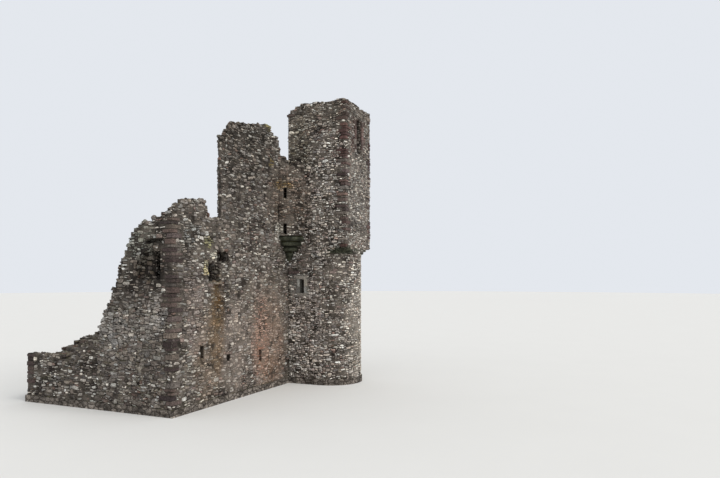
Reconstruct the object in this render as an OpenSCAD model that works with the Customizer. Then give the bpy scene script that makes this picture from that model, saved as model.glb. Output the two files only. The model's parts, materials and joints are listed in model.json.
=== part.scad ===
// Ruined tower house: a vaulted rectangular block with a stair tower at its
// south-east corner, round below and corbelled out to a square caphouse above.
// X runs east along the south wall, Y runs north, Z is up from the lowest ground.
// Lengths are in millimetres, and the walls are set out from the block's south-west corner.

/* [Main block] */
// Outside length of the block, west to east
block_l = 12300; // [11400:100:14000]
// Outside width of the block, south to north
block_w = 8300; // [7600:100:9500]
// Thickness of the south and north walls
wall_t = 1500; // [1350:50:1800]
// Thickness of the west and east gables
gable_t = 1400; // [1200:50:1700]
// Thickness of the walls above the upper floor's ledge
upper_t = 1250; // [1000:50:1300]
// Level of the hall floor, on top of the vault
hall_z = 4700; // [4500:50:5200]
// Level of the ledge that carried the upper floor
ledge_z = 8300; // [8000:50:8700]
// Highest point of the tall piece of south wall
fragment_z = 13350; // [12400:50:14200]
// Distance from the corner to the west edge of the tall piece of south wall
fragment_x = 3200; // [2900:50:3500]
// Highest point of the low west end
west_end_z = 8970; // [8800:10:9400]
// Level of the west gable's broken edge beside the south wall
gable_top_z = 7960; // [7700:20:8200]
// How far north the west gable still stands at the hall floor
gable_hall_y = 3250; // [3000:50:3600]
// Distance from the south face to the gap in the west gable
gable_gap_y = 3900; // [3700:50:4300]
// How far the east gable stands above the ledge beside the south wall
east_gable_rise = 1950; // [1600:50:2400]
// Level of the ruined north-west corner
north_low_z = 2200; // [1800:50:2600]
// Length of the north wall's low west part
north_low_l = 4300; // [3900:50:4700]
// Distance from the corner to where the north wall stands to the hall floor
north_hall_x = 5800; // [5400:50:6200]
// Height of the footing course
footing_h = 300; // [200:50:450]
// How far the footing stands out from the wall faces
footing_out = 80; // [60:10:150]

/* [Basement] */
// Width of a slit at the outer face
slit_w = 240; // [150:10:300]
// Height of the tall slits
slit_h = 600; // [400:20:700]
// Width of a slit's splay at the inner face
slit_splay = 900; // [700:20:1100]
// Level at which the vault springs
vault_spring_z = 2850; // [2800:10:3000]
// Rise of the vault from its springing to its crown
vault_rise = 1400; // [1200:20:1450]
// Length of vault that still stands, from the east gable
vault_l = 4500; // [3800:50:5200]
// Length of its east bay
vault_bay_l = 2300; // [2000:50:2600]
// Thickness of the springing stones left on the south wall
haunch_t = 620; // [500:20:700]
// Distance from the corner to the middle of the west slit
west_slit_x = 1870; // [1700:10:2000]
// Distance from the corner to the middle of the small slit
small_slit_x = 3790; // [3600:10:4000]
// Distance from the stair tower to the middle of the east slit
tower_slit_gap = 2750; // [2500:10:3000]
// Distance from the east gable to the middle of the north slit
north_slit_gap = 3400; // [3200:50:3600]

/* [Hall] */
// Distance from the corner to the broken south window
window_x = 2300; // [2200:20:2500]
// Width of a hall window
window_w = 930; // [800:10:1000]
// Height of a hall window
window_h = 1400; // [1200:20:1600]
// Height of the window sills above the hall floor
window_sill = 730; // [600:10:900]
// How far the stones over the broken window have slipped east
breach_shift = 520; // [400:10:600]
// Splay of the window's sides towards the hall
window_splay = 250; // [150:10:300]
// Distance from the east gable to the north window
north_window_gap = 2300; // [2200:50:2700]

/* [Closet in the corner] */
// Distance from the corner to the closet's opening
closet_y = 650; // [560:10:700]
// Width of the closet's opening
closet_w = 450; // [350:10:500]
// Level of the closet's sill
closet_z = 5700; // [5600:20:5800]
// Height of the closet's opening
closet_h = 1060; // [900:20:1100]
// Distance from the gable's face to the closet's far end
closet_in = 1700; // [1500:20:1800]
// Depth of the facing that has fallen away round the opening
facing_t = 260; // [200:10:320]

/* [Stair tower] */
// Width of the stair tower
stair_w = 3150; // [3000:50:3300]
// How far the stair tower stands out from the south wall
stair_out = 3400; // [3200:50:3700]
// Radius of the stair well
well_r = 875; // [800:5:900]
// Distance from the south wall to the middle of the stair well
well_y = 1500; // [1480:20:1600]
// Thickness of the tower's wall against the block
stair_wall_t = 600; // [540:10:620]
// Width of the doors from the block to the stair
door_w = 800; // [700:20:860]
// Height of the doors above the floor
door_h = 1900; // [1750:50:2000]
// Distance from the doors to the east gable's inner face
door_gap = 80; // [40:10:150]
// Distance from the south wall to the middle of the stair window
loop_y = 825; // [780:5:880]
// Width of the stair window
loop_w = 270; // [220:10:320]
// Height of the stair window
loop_h = 740; // [600:20:800]
// Level of the stair window's sill
loop_z = 4810; // [4750:10:4950]
// Depth of the dressed stones round the stair window
surround_t = 300; // [240:10:360]

/* [Caphouse] */
// Level at which the round tower turns square
cap_z = 7200; // [7000:50:7400]
// Highest point of the caphouse
cap_top_z = 14900; // [14600:50:15600]
// How far the caphouse's crest falls towards the block
cap_drop = 480; // [300:20:700]
// Thickness of the caphouse walls
cap_t = 700; // [600:20:750]
// Height of the caphouse room, from its floor to the highest point
cap_room_h = 3400; // [3100:50:3700]
// Thickness of the caphouse floor
cap_floor_t = 220; // [180:10:300]
// Distance from the west face to the caphouse window
cap_window_x = 1300; // [1200:20:1350]
// Width of the caphouse window
cap_window_w = 650; // [550:10:700]
// Height of the caphouse window's sill above the caphouse floor
cap_sill = 800; // [600:20:900]
// Height of the caphouse window
cap_window_h = 1850; // [1600:50:1900]

/* [Corbelling] */
// Outer radius of the turret in the angle between wall and tower
turret_r = 1000; // [850:10:1050]
// Thickness of the turret's curved wall
turret_t = 280; // [220:10:320]
// How far the turret's top lies below the tall piece of wall
turret_drop = 1450; // [1300:50:1700]
// Width of the turret's slits
turret_slit_w = 180; // [140:10:200]
// Height of the turret's slits
turret_slit_h = 560; // [400:20:700]
// Height of the corbel's pointed lowest stone
corbel_foot_h = 290; // [240:10:340]
// Level of the turret's lowest stone
corbel_z = 6460; // [6300:20:6600]
// Heights of the corbel's ringed courses, from the tip up
ring_h = 270; // [220:10:300]
// Height of one course under the square corners
corner_course_h = 150; // [120:10:180]

/* [Masonry] */
// Length of stone that a broken edge steps by
step_l = 360; // [300:10:500]
// How unevenly the stones of a broken edge stand
ragged = 60; // [20:5:80]

/* [Hidden] */
// Smoothness of the round walls
$fn = 64;
x_w = -block_l / 2;
y_s = (stair_out - block_w) / 2;
stair_x = block_l - stair_w;
stair_r = stair_w / 2;
stair_mid = stair_x + stair_r;
round_y = stair_r - stair_out;
inner_y = block_w - wall_t;
inner_x = block_l - gable_t;
sill_z = hall_z + window_sill;
breach_mid_z = sill_z + window_h * 0.62;
breach_w = window_w + breach_shift;
door_x1 = inner_x - door_gap;
door_x0 = door_x1 - door_w;
stair_wall_y = -stair_wall_t;
well_mid_y = -well_y;
vault_crown_z = vault_spring_z + vault_rise;
vault_span = inner_y - wall_t;
vault_r = (vault_span * vault_span / 4 + vault_rise * vault_rise) / (2 * vault_rise);
vault_mid_z = vault_crown_z - vault_r;
vault_broken_x = inner_x - vault_l;
vault_joint_x = inner_x - vault_bay_l;
cap_floor_z = cap_top_z - cap_room_h;
cap_window_z = cap_floor_z + cap_sill;
turret_z = corbel_z + 4 * ring_h + corbel_foot_h;
turret_top_z = fragment_z - turret_drop;
west_fall = west_end_z - gable_top_z;
low_break_z = north_low_z + 700;
north_head_z = ledge_z - 600;
over = 10;
stone = [0.47, 0.45, 0.42];
dark_stone = [0.37, 0.35, 0.33];
pale_stone = [0.60, 0.58, 0.54];
red_stone = [0.42, 0.27, 0.24];
old_mortar = [0.52, 0.48, 0.42];

// The south wall's slits: distance from the corner to the middle, sill level and height
south_slits = [
    [west_slit_x, vault_spring_z - 750, slit_h * 1.07],
    [small_slit_x, vault_spring_z - 1030, slit_h / 2],
    [stair_x - tower_slit_gap, vault_spring_z - 1400, slit_h]
];
// The hidden walls repeat one slit and one window each
north_slit = [inner_x - north_slit_gap, vault_spring_z - 1350, slit_h];
east_slit = [block_w / 2, vault_spring_z - 1350, slit_h];
north_window = inner_x - north_window_gap;
east_window = (block_w - window_w) / 2;

// Sets a piece out from the block's south-west corner
module from_corner() {
    translate([x_w, y_s, 0]) children();
}

// A wall that runs east, with its outline drawn as seen from the south
module wall_east(outline, y, t) {
    translate([0, y + t, 0]) rotate([90, 0, 0]) linear_extrude(t) polygon(outline);
}

// A wall that runs north, with its outline drawn along Y and Z
module wall_north(outline, x, t) {
    translate([x, 0, 0]) rotate([90, 0, 90]) linear_extrude(t) polygon(outline);
}

// A block between two opposite corners
module block(low, high) {
    translate(low) cube(high - low);
}

function box_outline(a0, a1, z0, z1) = [[a0, z0], [a1, z0], [a1, z1], [a0, z1]];

// Broken masonry steps from stone to stone between the corners of its outline
function wobble(i) = sin(i * 137.5 + 40);

function broken_point(a, b, i, n, seed) =
    let (t = i / n, play = (i == 0 || i == n) ? 0 : ragged)
    [a[0] + (b[0] - a[0]) * t + play * wobble(3 * i + seed),
     a[1] + (b[1] - a[1]) * t + play * wobble(7 * i + seed + 2)];

function stepped(a, b, seed) =
    let (n = max(1, round(norm(b - a) / step_l)))
    [for (i = [0 : n - 1])
        let (p = broken_point(a, b, i, n, seed),
             q = broken_point(a, b, i + 1, n, seed),
             x = (p[0] + q[0]) / 2)
        each [[x, p[1]], [x, q[1]]]];

function broken(points, seed = 1) =
    [points[0],
     for (k = [0 : len(points) - 2]) each stepped(points[k], points[k + 1], seed + 5 * k),
     points[len(points) - 1]];

// Points between two ends, each given as its share of the way along and of the rise
function between(a, b, shares) =
    concat([a], [for (s = shares) [a[0] + (b[0] - a[0]) * s[0], a[1] + (b[1] - a[1]) * s[1]]], [b]);

// Plan of the masonry between the splayed sides of two slits
function pier_plan(a, b, near, far, splay_a, splay_b) =
    [[a, near], [b, near], [b - splay_b, far], [a + splay_a, far]];

function slit_side(slit) = slit[0] - slit_w / 2;
function slit_end(slit) = slit[0] + slit_w / 2;
splay = (slit_splay - slit_w) / 2;

// Footings
module long_wall_footings() {
    color(dark_stone) from_corner() {
        block([-footing_out, -footing_out, 0], [stair_x, wall_t + footing_out, footing_h]);
        block([stair_x, 0, 0], [block_l + footing_out, wall_t + footing_out, footing_h]);
        block([-footing_out, inner_y - footing_out, 0],
              [block_l + footing_out, block_w + footing_out, footing_h]);
    }
}

module gable_footings() {
    near = wall_t + footing_out;
    far = inner_y - footing_out;
    color(dark_stone) from_corner() {
        block([-footing_out, near, 0], [gable_t + footing_out, far, footing_h]);
        block([inner_x - footing_out, near, 0], [block_l + footing_out, far, footing_h]);
    }
}

module stair_plan(grow) {
    r = stair_r + grow;
    intersection() {
        translate([stair_mid, round_y]) circle(r);
        translate([stair_mid - r, round_y - r]) square([2 * r, r]);
    }
    translate([stair_mid - r, round_y]) square([2 * r, -round_y]);
}

module stair_footing() {
    color(dark_stone) from_corner() linear_extrude(footing_h) difference() {
        stair_plan(footing_out);
        translate([stair_x - 2 * footing_out, -footing_out]) square([2 * footing_out, footing_out]);
    }
}

// South wall, basement storey
module south_pier(a, b, splay_a, splay_b) {
    translate([0, 0, footing_h]) linear_extrude(hall_z - footing_h)
        polygon(pier_plan(a, b, 0, wall_t, splay_a, splay_b));
}

module south_basement_piers() {
    color(stone) from_corner() {
        south_pier(0, slit_side(south_slits[0]), 0, splay);
        south_pier(slit_end(south_slits[0]), slit_side(south_slits[1]), splay, splay);
        south_pier(slit_end(south_slits[1]), slit_side(south_slits[2]), splay, splay);
        south_pier(slit_end(south_slits[2]), door_x0, splay, 0);
        south_pier(door_x1, block_l, 0, 0);
    }
}

module slit_infill(slit, z0, z1) {
    translate([0, 0, z0]) linear_extrude(z1 - z0)
        polygon(pier_plan(slit_side(slit), slit_end(slit), 0, wall_t, -splay, -splay));
}

module south_slit_sills() {
    color(stone) from_corner() for (slit = south_slits) slit_infill(slit, footing_h, slit[1]);
}

module south_basement_heads() {
    color(stone) from_corner() {
        for (slit = south_slits) slit_infill(slit, slit[1] + slit[2], hall_z);
        block([door_x0, 0, footing_h + door_h], [door_x1, wall_t, hall_z]);
    }
}

// South wall, hall storey
module hall_embrasure() {
    translate([0, 0, sill_z]) linear_extrude(window_h) polygon([
        [window_x, wall_t / 3],
        [window_x + breach_w, wall_t / 3],
        [window_x + breach_w + window_splay, wall_t + over],
        [window_x - window_splay, wall_t + over]
    ]);
}

// Facing that has fallen away round the closet's opening
module fallen_facing() {
    w = closet_w * 2.8;
    wall_north([
        [closet_y - 40, closet_z - 120],
        [closet_y + w * 0.55, closet_z - closet_h * 0.25],
        [closet_y + w, closet_z - closet_h * 0.08],
        [closet_y + w * 0.97, closet_z + closet_h * 0.5],
        [closet_y + w * 0.7, closet_z + closet_h * 0.92],
        [closet_y + w * 0.33, closet_z + closet_h + 120],
        [closet_y - 60, closet_z + closet_h + 60]
    ], -over, facing_t + over);
}

module closet() {
    block([facing_t - 2 * over, closet_y, closet_z],
          [closet_in - over, closet_y + closet_w, closet_z + closet_h]);
    block([closet_in - 1300, closet_y - 120, closet_z - 200],
          [closet_in, closet_y + closet_w + 60, closet_z + closet_h + 140]);
}

// Takes the top off the inner part of the corner, which has fallen lower than its face
module corner_fall(x, y, drop) {
    block([-over, wall_t * y, west_end_z - drop],
          [window_x * x, wall_t + over, west_end_z + over]);
}

module south_west_corner() {
    outline = concat([[0, hall_z], [window_x, hall_z]], [[window_x, ledge_z - 20]],
        broken(between([window_x - 60, west_end_z - 220], [0, west_end_z - west_fall / 2],
                       [[0.13, -0.75], [0.34, -0.7], [0.72, -0.35], [0.84, 0.4]]), 3));
    color(stone) from_corner() difference() {
        wall_east(outline, 0, wall_t);
        closet();
        fallen_facing();
        hall_embrasure();
        corner_fall(0.28, 0.1, west_fall * 0.53);
        corner_fall(0.4, 0.1, west_fall * 0.36);
        corner_fall(0.5, 0.22, west_fall * 0.3);
        corner_fall(1.1, 0.73, west_fall * 0.4);
        corner_fall(0.76, 0.4, west_fall * 0.52);
        corner_fall(0.5, 0.35, west_fall * 0.85);
        corner_fall(0.17, 0.15, west_fall * 0.68);
        corner_fall(0.35, 0.7, west_fall * 1.04);
        block([-over, closet_y - 150, closet_z + closet_h + facing_t + 40],
              [300, closet_y + 750, closet_z + closet_h + facing_t + 180]);
    }
}

module south_window_sill() {
    color(stone) from_corner()
        block([window_x, 0, hall_z], [window_x + breach_w, wall_t, sill_z]);
}

module south_window_head() {
    gap_x = window_x + window_w * 0.68;
    outline = concat([
        [window_x, breach_mid_z],
        [gap_x, breach_mid_z],
        [gap_x, sill_z + window_h],
        [window_x + breach_w, sill_z + window_h],
        [window_x + breach_w, ledge_z]
    ], broken([[fragment_x - 10, ledge_z], [window_x + window_w * 0.38, ledge_z - 60],
               [window_x, ledge_z - 20]], 4));
    color(stone) from_corner() difference() {
        wall_east(outline, 0, wall_t);
        hall_embrasure();
    }
}

module south_hall_wall() {
    outline = [
        [window_x + breach_w, hall_z], [door_x0, hall_z],
        [door_x0, hall_z + door_h], [door_x1, hall_z + door_h],
        [door_x1, ledge_z], [window_x + breach_w, ledge_z],
        [window_x + breach_w, breach_mid_z], [window_x + window_w, breach_mid_z],
        [window_x + window_w, sill_z], [window_x + breach_w, sill_z]
    ];
    color(stone) from_corner() difference() {
        wall_east(outline, 0, wall_t);
        hall_embrasure();
    }
}

module south_east_pier() {
    color(stone) from_corner() block([door_x1, 0, hall_z], [block_l, wall_t, ledge_z]);
}

// South wall above the ledge: the tall piece that still stands beside the tower
// Each share of its length and height marks a point of the broken edge
fragment_shape = [[0.004, 0.6], [0.03, 0.7], [0.07, 0.77], [0.11, 0.85], [0.16, 0.9], [0.38, 0.925],
    [0.53, 0.975], [0.68, 1], [0.715, 0.945], [0.825, 0.89], [0.86, 0.74]];
// Height share above which the inner face has fallen back, and how far along it, outside and inside
fragment_falls = [[0, -0.02, 0.28], [0.755, 0.03, 0.37], [0.82, 0.1, 0.44], [0.89, 0.15, 0.5]];

module south_upper_wall() {
    rise = fragment_z - ledge_z;
    length = stair_x - fragment_x;
    crest = between([fragment_x, ledge_z], [fragment_x + length, fragment_z], fragment_shape);
    outline = concat([[block_l, ledge_z], [fragment_x, ledge_z]],
        broken(concat(
            [[fragment_x, ledge_z + 60]],
            [for (i = [1 : len(fragment_shape)]) crest[i]],
            [[stair_x, turret_top_z], [stair_mid, turret_top_z - turret_drop / 2],
             [block_l, ledge_z + east_gable_rise]]), 2));
    color(stone) from_corner() difference() {
        wall_east(outline, 0, upper_t);
        for (fall = fragment_falls)
            translate([0, 0, ledge_z + rise * fall[0]]) linear_extrude(rise) polygon([
                [fragment_x + length * fall[1], over],
                [fragment_x + length * fall[2], upper_t + over],
                [fragment_x - length * 0.02, upper_t + over]
            ]);
    }
}

// West gable: a stub that falls away northwards
module west_gable_basement() {
    outline = concat([[wall_t, footing_h], [gable_gap_y, footing_h]],
        broken(between([gable_gap_y, hall_z * 0.76], [gable_hall_y + 80, hall_z - 140], [[0.5, 0.7]]), 6),
        [[gable_hall_y + 80, hall_z], [wall_t, hall_z]]);
    color(stone) from_corner() wall_north(outline, 0, gable_t);
}

module west_gable_hall() {
    shape = [[0.22, 0.19], [0.25, 0.42], [0.38, 0.51], [0.54, 0.69], [0.63, 0.86], [0.9, 0.96]];
    outline = concat([[wall_t, hall_z], [gable_hall_y, hall_z]],
        broken(between([gable_hall_y, hall_z + 180], [wall_t, gable_top_z], shape), 5));
    color(stone) from_corner() difference() {
        wall_north(outline, 0, gable_t);
        fallen_facing();
    }
}

module west_gable_stump() {
    outline = concat([[gable_gap_y, footing_h], [inner_y, footing_h]],
        broken(between([inner_y, north_low_z], [gable_gap_y, low_break_z], [[0.38, -0.3], [0.65, 0.5]]), 7));
    color(dark_stone) from_corner() wall_north(outline, 0, gable_t);
}

// North wall: low at the west, rising to the east
module north_wall_stump() {
    outline = concat([[north_low_l, footing_h], [0, footing_h]],
        broken(between([0, north_low_z], [north_low_l, low_break_z], [[0.3, -0.4], [0.63, 0.47]]), 8));
    color(dark_stone) from_corner() wall_east(outline, inner_y, wall_t);
}

module north_pier(plan, z1) {
    translate([0, block_w, footing_h]) mirror([0, 1, 0]) linear_extrude(z1 - footing_h) polygon(plan);
}

module north_basement_piers() {
    side = slit_side(north_slit);
    outline = concat([[side, footing_h], [side, hall_z]],
        broken(between([north_hall_x, hall_z], [north_low_l, low_break_z + 180], [[0.53, 0.5]]), 9),
        [[north_low_l, footing_h]]);
    color(stone) from_corner() {
        difference() {
            wall_east(outline, inner_y, wall_t);
            north_pier([[side, 0], [side + over, 0], [side + over, wall_t + over],
                        [side - splay, wall_t + over], [side - splay, wall_t]], hall_z + over);
        }
        north_pier(pier_plan(slit_end(north_slit), block_l, 0, wall_t, splay, 0), hall_z);
    }
}

module north_basement_slit() {
    plan = pier_plan(slit_side(north_slit), slit_end(north_slit), 0, wall_t, -splay, -splay);
    color(stone) from_corner() {
        north_pier(plan, north_slit[1]);
        translate([0, 0, north_slit[1] + north_slit[2] - footing_h])
            north_pier(plan, hall_z - north_slit[1] - north_slit[2] + footing_h);
    }
}

module north_hall_piers() {
    west = concat([[north_window, hall_z], [north_window, sill_z + window_h]],
        broken(between([north_window, north_head_z], [north_hall_x, hall_z + 450],
                       [[0.36, 0.24], [0.71, 0.63]]), 3),
        [[north_hall_x, hall_z]]);
    east = concat([[block_l, hall_z], [north_window + window_w, hall_z],
                   [north_window + window_w, north_head_z + 250]],
        broken([[north_window + window_w, north_head_z + 300], [inner_x, ledge_z + 120],
                [block_l, ledge_z + 60]], 6));
    color(stone) from_corner() {
        wall_east(west, inner_y, wall_t);
        wall_east(east, inner_y, wall_t);
    }
}

module north_hall_window() {
    a = north_window;
    b = north_window + window_w;
    color(stone) from_corner() {
        wall_east(box_outline(a, b, hall_z, sill_z), inner_y, wall_t);
        wall_east(box_outline(a, b, sill_z + window_h, north_head_z), inner_y, wall_t);
    }
}

// East gable
module east_pier(plan, z1) {
    translate([block_l, 0, footing_h]) rotate(90) linear_extrude(z1 - footing_h) polygon(plan);
}

module east_basement_piers() {
    color(stone) from_corner() {
        east_pier(pier_plan(wall_t, slit_side(east_slit), 0, gable_t, 0, splay), hall_z);
        east_pier(pier_plan(slit_end(east_slit), inner_y, 0, gable_t, splay, 0), hall_z);
    }
}

module east_basement_slit() {
    plan = pier_plan(slit_side(east_slit), slit_end(east_slit), 0, gable_t, -splay, -splay);
    color(stone) from_corner() {
        east_pier(plan, east_slit[1]);
        translate([0, 0, east_slit[1] + east_slit[2] - footing_h])
            east_pier(plan, hall_z - east_slit[1] - east_slit[2] + footing_h);
    }
}

module east_hall_piers() {
    color(stone) from_corner() {
        wall_north(box_outline(wall_t, east_window, hall_z, ledge_z), inner_x, gable_t);
        wall_north(box_outline(east_window + window_w, inner_y, hall_z, ledge_z), inner_x, gable_t);
    }
}

module east_hall_window() {
    a = east_window;
    b = east_window + window_w;
    color(stone) from_corner() {
        wall_north(box_outline(a, b, hall_z, sill_z), inner_x, gable_t);
        wall_north(box_outline(a, b, sill_z + window_h, ledge_z), inner_x, gable_t);
    }
}

module east_upper_gable() {
    outline = concat([[inner_y, ledge_z], [upper_t, ledge_z]],
        broken(between([upper_t, ledge_z + east_gable_rise], [inner_y, ledge_z + 250],
                       [[0.31, 0.38], [0.57, 0.57], [0.77, 0.79]]), 4));
    color(stone) from_corner() wall_north(outline, inner_x, gable_t);
}

// Barrel vault over the basement, with its haunches filled up to the hall floor
module vault_section(y0, y1, z1) {
    difference() {
        translate([y0, vault_spring_z]) square([y1 - y0, z1 - vault_spring_z]);
        translate([block_w / 2, vault_mid_z]) circle(vault_r, $fn = 128);
    }
}

module along_block(x0, x1) {
    translate([x0, 0, 0]) rotate([90, 0, 90]) linear_extrude(x1 - x0) children();
}

module vault_east_bay() {
    color(old_mortar) from_corner()
        along_block(vault_joint_x, inner_x) vault_section(wall_t, inner_y, hall_z);
}

vault_north_x = vault_broken_x + vault_l * 0.045;

// The middle bay ends in a broken edge that runs further out along the walls
module vault_middle_bay() {
    color(old_mortar) from_corner() intersection() {
        along_block(vault_broken_x, vault_joint_x) vault_section(wall_t, inner_y, hall_z);
        linear_extrude(hall_z + over) polygon(concat(
            [[vault_joint_x, inner_y], [vault_joint_x, wall_t], [vault_broken_x, wall_t]],
            broken([[vault_broken_x, wall_t + vault_span * 0.06],
                    [vault_broken_x + vault_l * 0.2, wall_t + vault_span * 0.25],
                    [vault_broken_x + vault_l * 0.28, block_w / 2],
                    [vault_broken_x + vault_l * 0.18, inner_y - vault_span * 0.26],
                    [vault_north_x, inner_y - vault_span * 0.06]], 2),
            [[vault_north_x, inner_y]]));
    }
}

// Springing stones that still cling to the long walls where the vault has fallen
module vault_haunches() {
    color(old_mortar) from_corner() {
        along_block(gable_t, vault_broken_x)
            vault_section(wall_t, wall_t + haunch_t, hall_z - vault_rise * 0.36);
        along_block(vault_north_x - vault_l / 3, vault_north_x)
            vault_section(inner_y - haunch_t * 0.73, inner_y, vault_spring_z + vault_rise * 0.64);
    }
}

// Stair tower, round end to the south
module well_plan() {
    translate([stair_mid, well_mid_y]) circle(well_r);
    translate([door_x0, well_mid_y])
        square([max(door_w, stair_mid - door_x0 + over), stair_wall_y - well_mid_y + over]);
}

module loop_cut() {
    y = -loop_y;
    block([stair_x - over, y - loop_w / 2, loop_z], [stair_mid, y + loop_w / 2, loop_z + loop_h]);
    translate([0, 0, loop_z]) linear_extrude(loop_h) polygon([
        [stair_x + surround_t, y - loop_w / 2],
        [stair_x + surround_t, y],
        [stair_mid, y],
        [stair_mid, well_mid_y],
        [stair_x + stair_r - well_r, y - loop_w / 2 - surround_t]
    ]);
}

surround_y0 = -loop_y - loop_w * 1.55;
surround_y1 = loop_w * 2.6 - loop_y;

module surround_seat() {
    block([stair_x - over, surround_y0, loop_z - 200],
          [stair_x + surround_t, surround_y1, loop_z + loop_h + 260]);
}

module stair_north_piers() {
    color(stone) from_corner() difference() {
        union() {
            block([stair_x, stair_wall_y, footing_h], [door_x0, 0, cap_z]);
            block([door_x1, stair_wall_y, footing_h], [stair_x + stair_w, 0, cap_z]);
        }
        surround_seat();
    }
}

module stair_door_infill() {
    color(stone) from_corner() {
        block([door_x0, stair_wall_y, footing_h + door_h], [door_x1, 0, hall_z]);
        block([door_x0, stair_wall_y, hall_z + door_h], [door_x1, 0, cap_z]);
    }
}

module stair_side(a, b) {
    translate([0, 0, footing_h]) linear_extrude(cap_z - footing_h) difference() {
        translate([a, round_y]) square([b - a, stair_wall_y - round_y]);
        well_plan();
    }
}

module stair_west_side() {
    color(stone) from_corner() difference() {
        stair_side(stair_x, stair_mid);
        surround_seat();
        loop_cut();
    }
}

module stair_east_side() {
    color(stone) from_corner() stair_side(stair_mid, stair_x + stair_w);
}

module stair_quarter(a, b) {
    translate([0, 0, footing_h]) linear_extrude(cap_z - footing_h) difference() {
        intersection() {
            translate([stair_mid, round_y]) circle(stair_r);
            translate([a, round_y - stair_r]) square([b - a, stair_r]);
        }
        well_plan();
    }
}

module stair_round_west() {
    color(stone) from_corner() stair_quarter(stair_x, stair_mid);
}

module stair_round_east() {
    color(stone) from_corner() stair_quarter(stair_mid, stair_x + stair_w);
}

// Dressed stones round the stair window
module stair_window_surround() {
    color(pale_stone) from_corner() difference() {
        block([stair_x, surround_y0, loop_z - 200],
              [stair_x + surround_t, surround_y1, loop_z + loop_h + 260]);
        loop_cut();
    }
}

// Corbels that carry the caphouse's square corners over the round tower
module corner_course(level, reach) {
    translate([0, 0, cap_z - level * corner_course_h]) linear_extrude(corner_course_h) difference() {
        intersection() {
            translate([stair_mid, round_y]) circle(stair_r + reach);
            translate([stair_x, -stair_out]) square([stair_w, stair_out + round_y]);
        }
        translate([stair_mid, round_y]) circle(stair_r);
    }
}

module corner_corbels() {
    color(dark_stone) from_corner() {
        corner_course(1, stair_r * 0.2);
        corner_course(2, stair_r * 0.09);
    }
}

// Ringed corbel in the angle between the south wall and the tower.
// Each ring is a quarter turn of a course with a rounded nose.
module ring(z, h, r) {
    nose = h / 2;
    translate([0, 0, z]) rotate(180) rotate_extrude(angle = 90) union() {
        square([r - nose, h]);
        translate([r - nose, nose]) intersection() {
            circle(nose, $fn = 32);
            translate([0, -nose]) square([nose, h]);
        }
    }
}

function ring_r(i) = turret_r * [0.34, 0.58, 0.80, 0.96][i];

module angle_corbel() {
    color(dark_stone) from_corner() translate([stair_x, 0, 0]) {
        translate([0, 0, corbel_z]) rotate(180) rotate_extrude(angle = 90)
            polygon([[0, 0], [60, 0], [ring_r(0) - 60, corbel_foot_h], [0, corbel_foot_h]]);
        for (i = [0 : 3]) ring(corbel_z + corbel_foot_h + i * ring_h, ring_h, ring_r(i));
    }
}

// Small stair turret on the corbel, cut by two slits
module angle_turret() {
    color(dark_stone) from_corner() translate([stair_x, 0, 0]) difference() {
        translate([0, 0, turret_z]) linear_extrude(turret_top_z - turret_z) intersection() {
            difference() {
                circle(turret_r);
                circle(turret_r - turret_t);
            }
            translate([-turret_r, -turret_r]) square(turret_r);
        }
        for (z = [turret_z + 60, turret_z + (turret_top_z - turret_z) * 0.47]) rotate(200)
            translate([0, -turret_slit_w / 2, z]) cube([turret_r + over, turret_slit_w, turret_slit_h]);
        block([-turret_r, -turret_r, turret_top_z - 500], [-turret_r * 0.55, -turret_r * 0.2, turret_top_z + over]);
        block([-turret_r, -turret_r, turret_top_z - 240], [-turret_r * 0.3, 0, turret_top_z + over]);
    }
}

// Caphouse
// The crest runs down from its highest point; each share is of the length and of the drop
function cap_crest(a, b, shares, seed) =
    broken([for (s = shares) [a + (b - a) * s[0], cap_top_z - cap_drop * s[1]]], seed);

module caphouse_west_wall() {
    outline = concat([[0, cap_z], [-stair_out, cap_z]],
        cap_crest(-stair_out, 0, [[0, 0.12], [0.11, 0], [0.28, 0.2], [0.62, 0.15], [0.74, 0.05],
                                  [0.82, 0.3], [0.93, 0.65], [1, 1]], 3));
    color(stone) from_corner() wall_north(outline, stair_x, cap_t);
}

module caphouse_east_wall() {
    outline = concat([[0, cap_z], [-stair_out, cap_z]],
        cap_crest(-stair_out, 0, [[0, 0.25], [0.3, 0.15], [0.7, 0.45], [1, 0.75]], 5));
    color(stone) from_corner() wall_north(outline, stair_x + stair_w - cap_t, cap_t);
}

module caphouse_north_wall() {
    a = stair_x + cap_t;
    b = stair_x + stair_w - cap_t;
    outline = concat([[b, cap_z], [a, cap_z]], cap_crest(a, b, [[0, 0.85], [0.5, 1.1], [1, 0.7]], 4));
    color(stone) from_corner() wall_east(outline, -cap_t, cap_t);
}

module caphouse_south_wall() {
    color(stone) from_corner()
        block([stair_x + cap_t, -stair_out, cap_z],
              [stair_x + stair_w - cap_t, cap_t - stair_out, cap_window_z]);
}

module caphouse_window_piers() {
    z1 = cap_window_z + cap_window_h;
    x0 = stair_x + cap_window_x;
    color(red_stone) from_corner() {
        block([stair_x + cap_t, -stair_out, cap_window_z], [x0, cap_t - stair_out, z1]);
        block([x0 + cap_window_w, -stair_out, cap_window_z],
              [stair_x + stair_w - cap_t, cap_t - stair_out, z1]);
    }
}

module caphouse_window_head() {
    a = stair_x + cap_t;
    b = stair_x + stair_w - cap_t;
    z0 = cap_window_z + cap_window_h;
    color(stone) from_corner()
        wall_east(concat([[b, z0], [a, z0]], cap_crest(a, b, [[0, 0.3], [0.33, 0.1], [0.67, 0.4], [1, 0.3]], 7)),
                  -stair_out, cap_t);
}

module caphouse_floor() {
    color(dark_stone) from_corner()
        block([stair_x + cap_t, cap_t - stair_out, cap_floor_z - cap_floor_t],
              [stair_x + stair_w - cap_t, -cap_t, cap_floor_z]);
}

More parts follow.
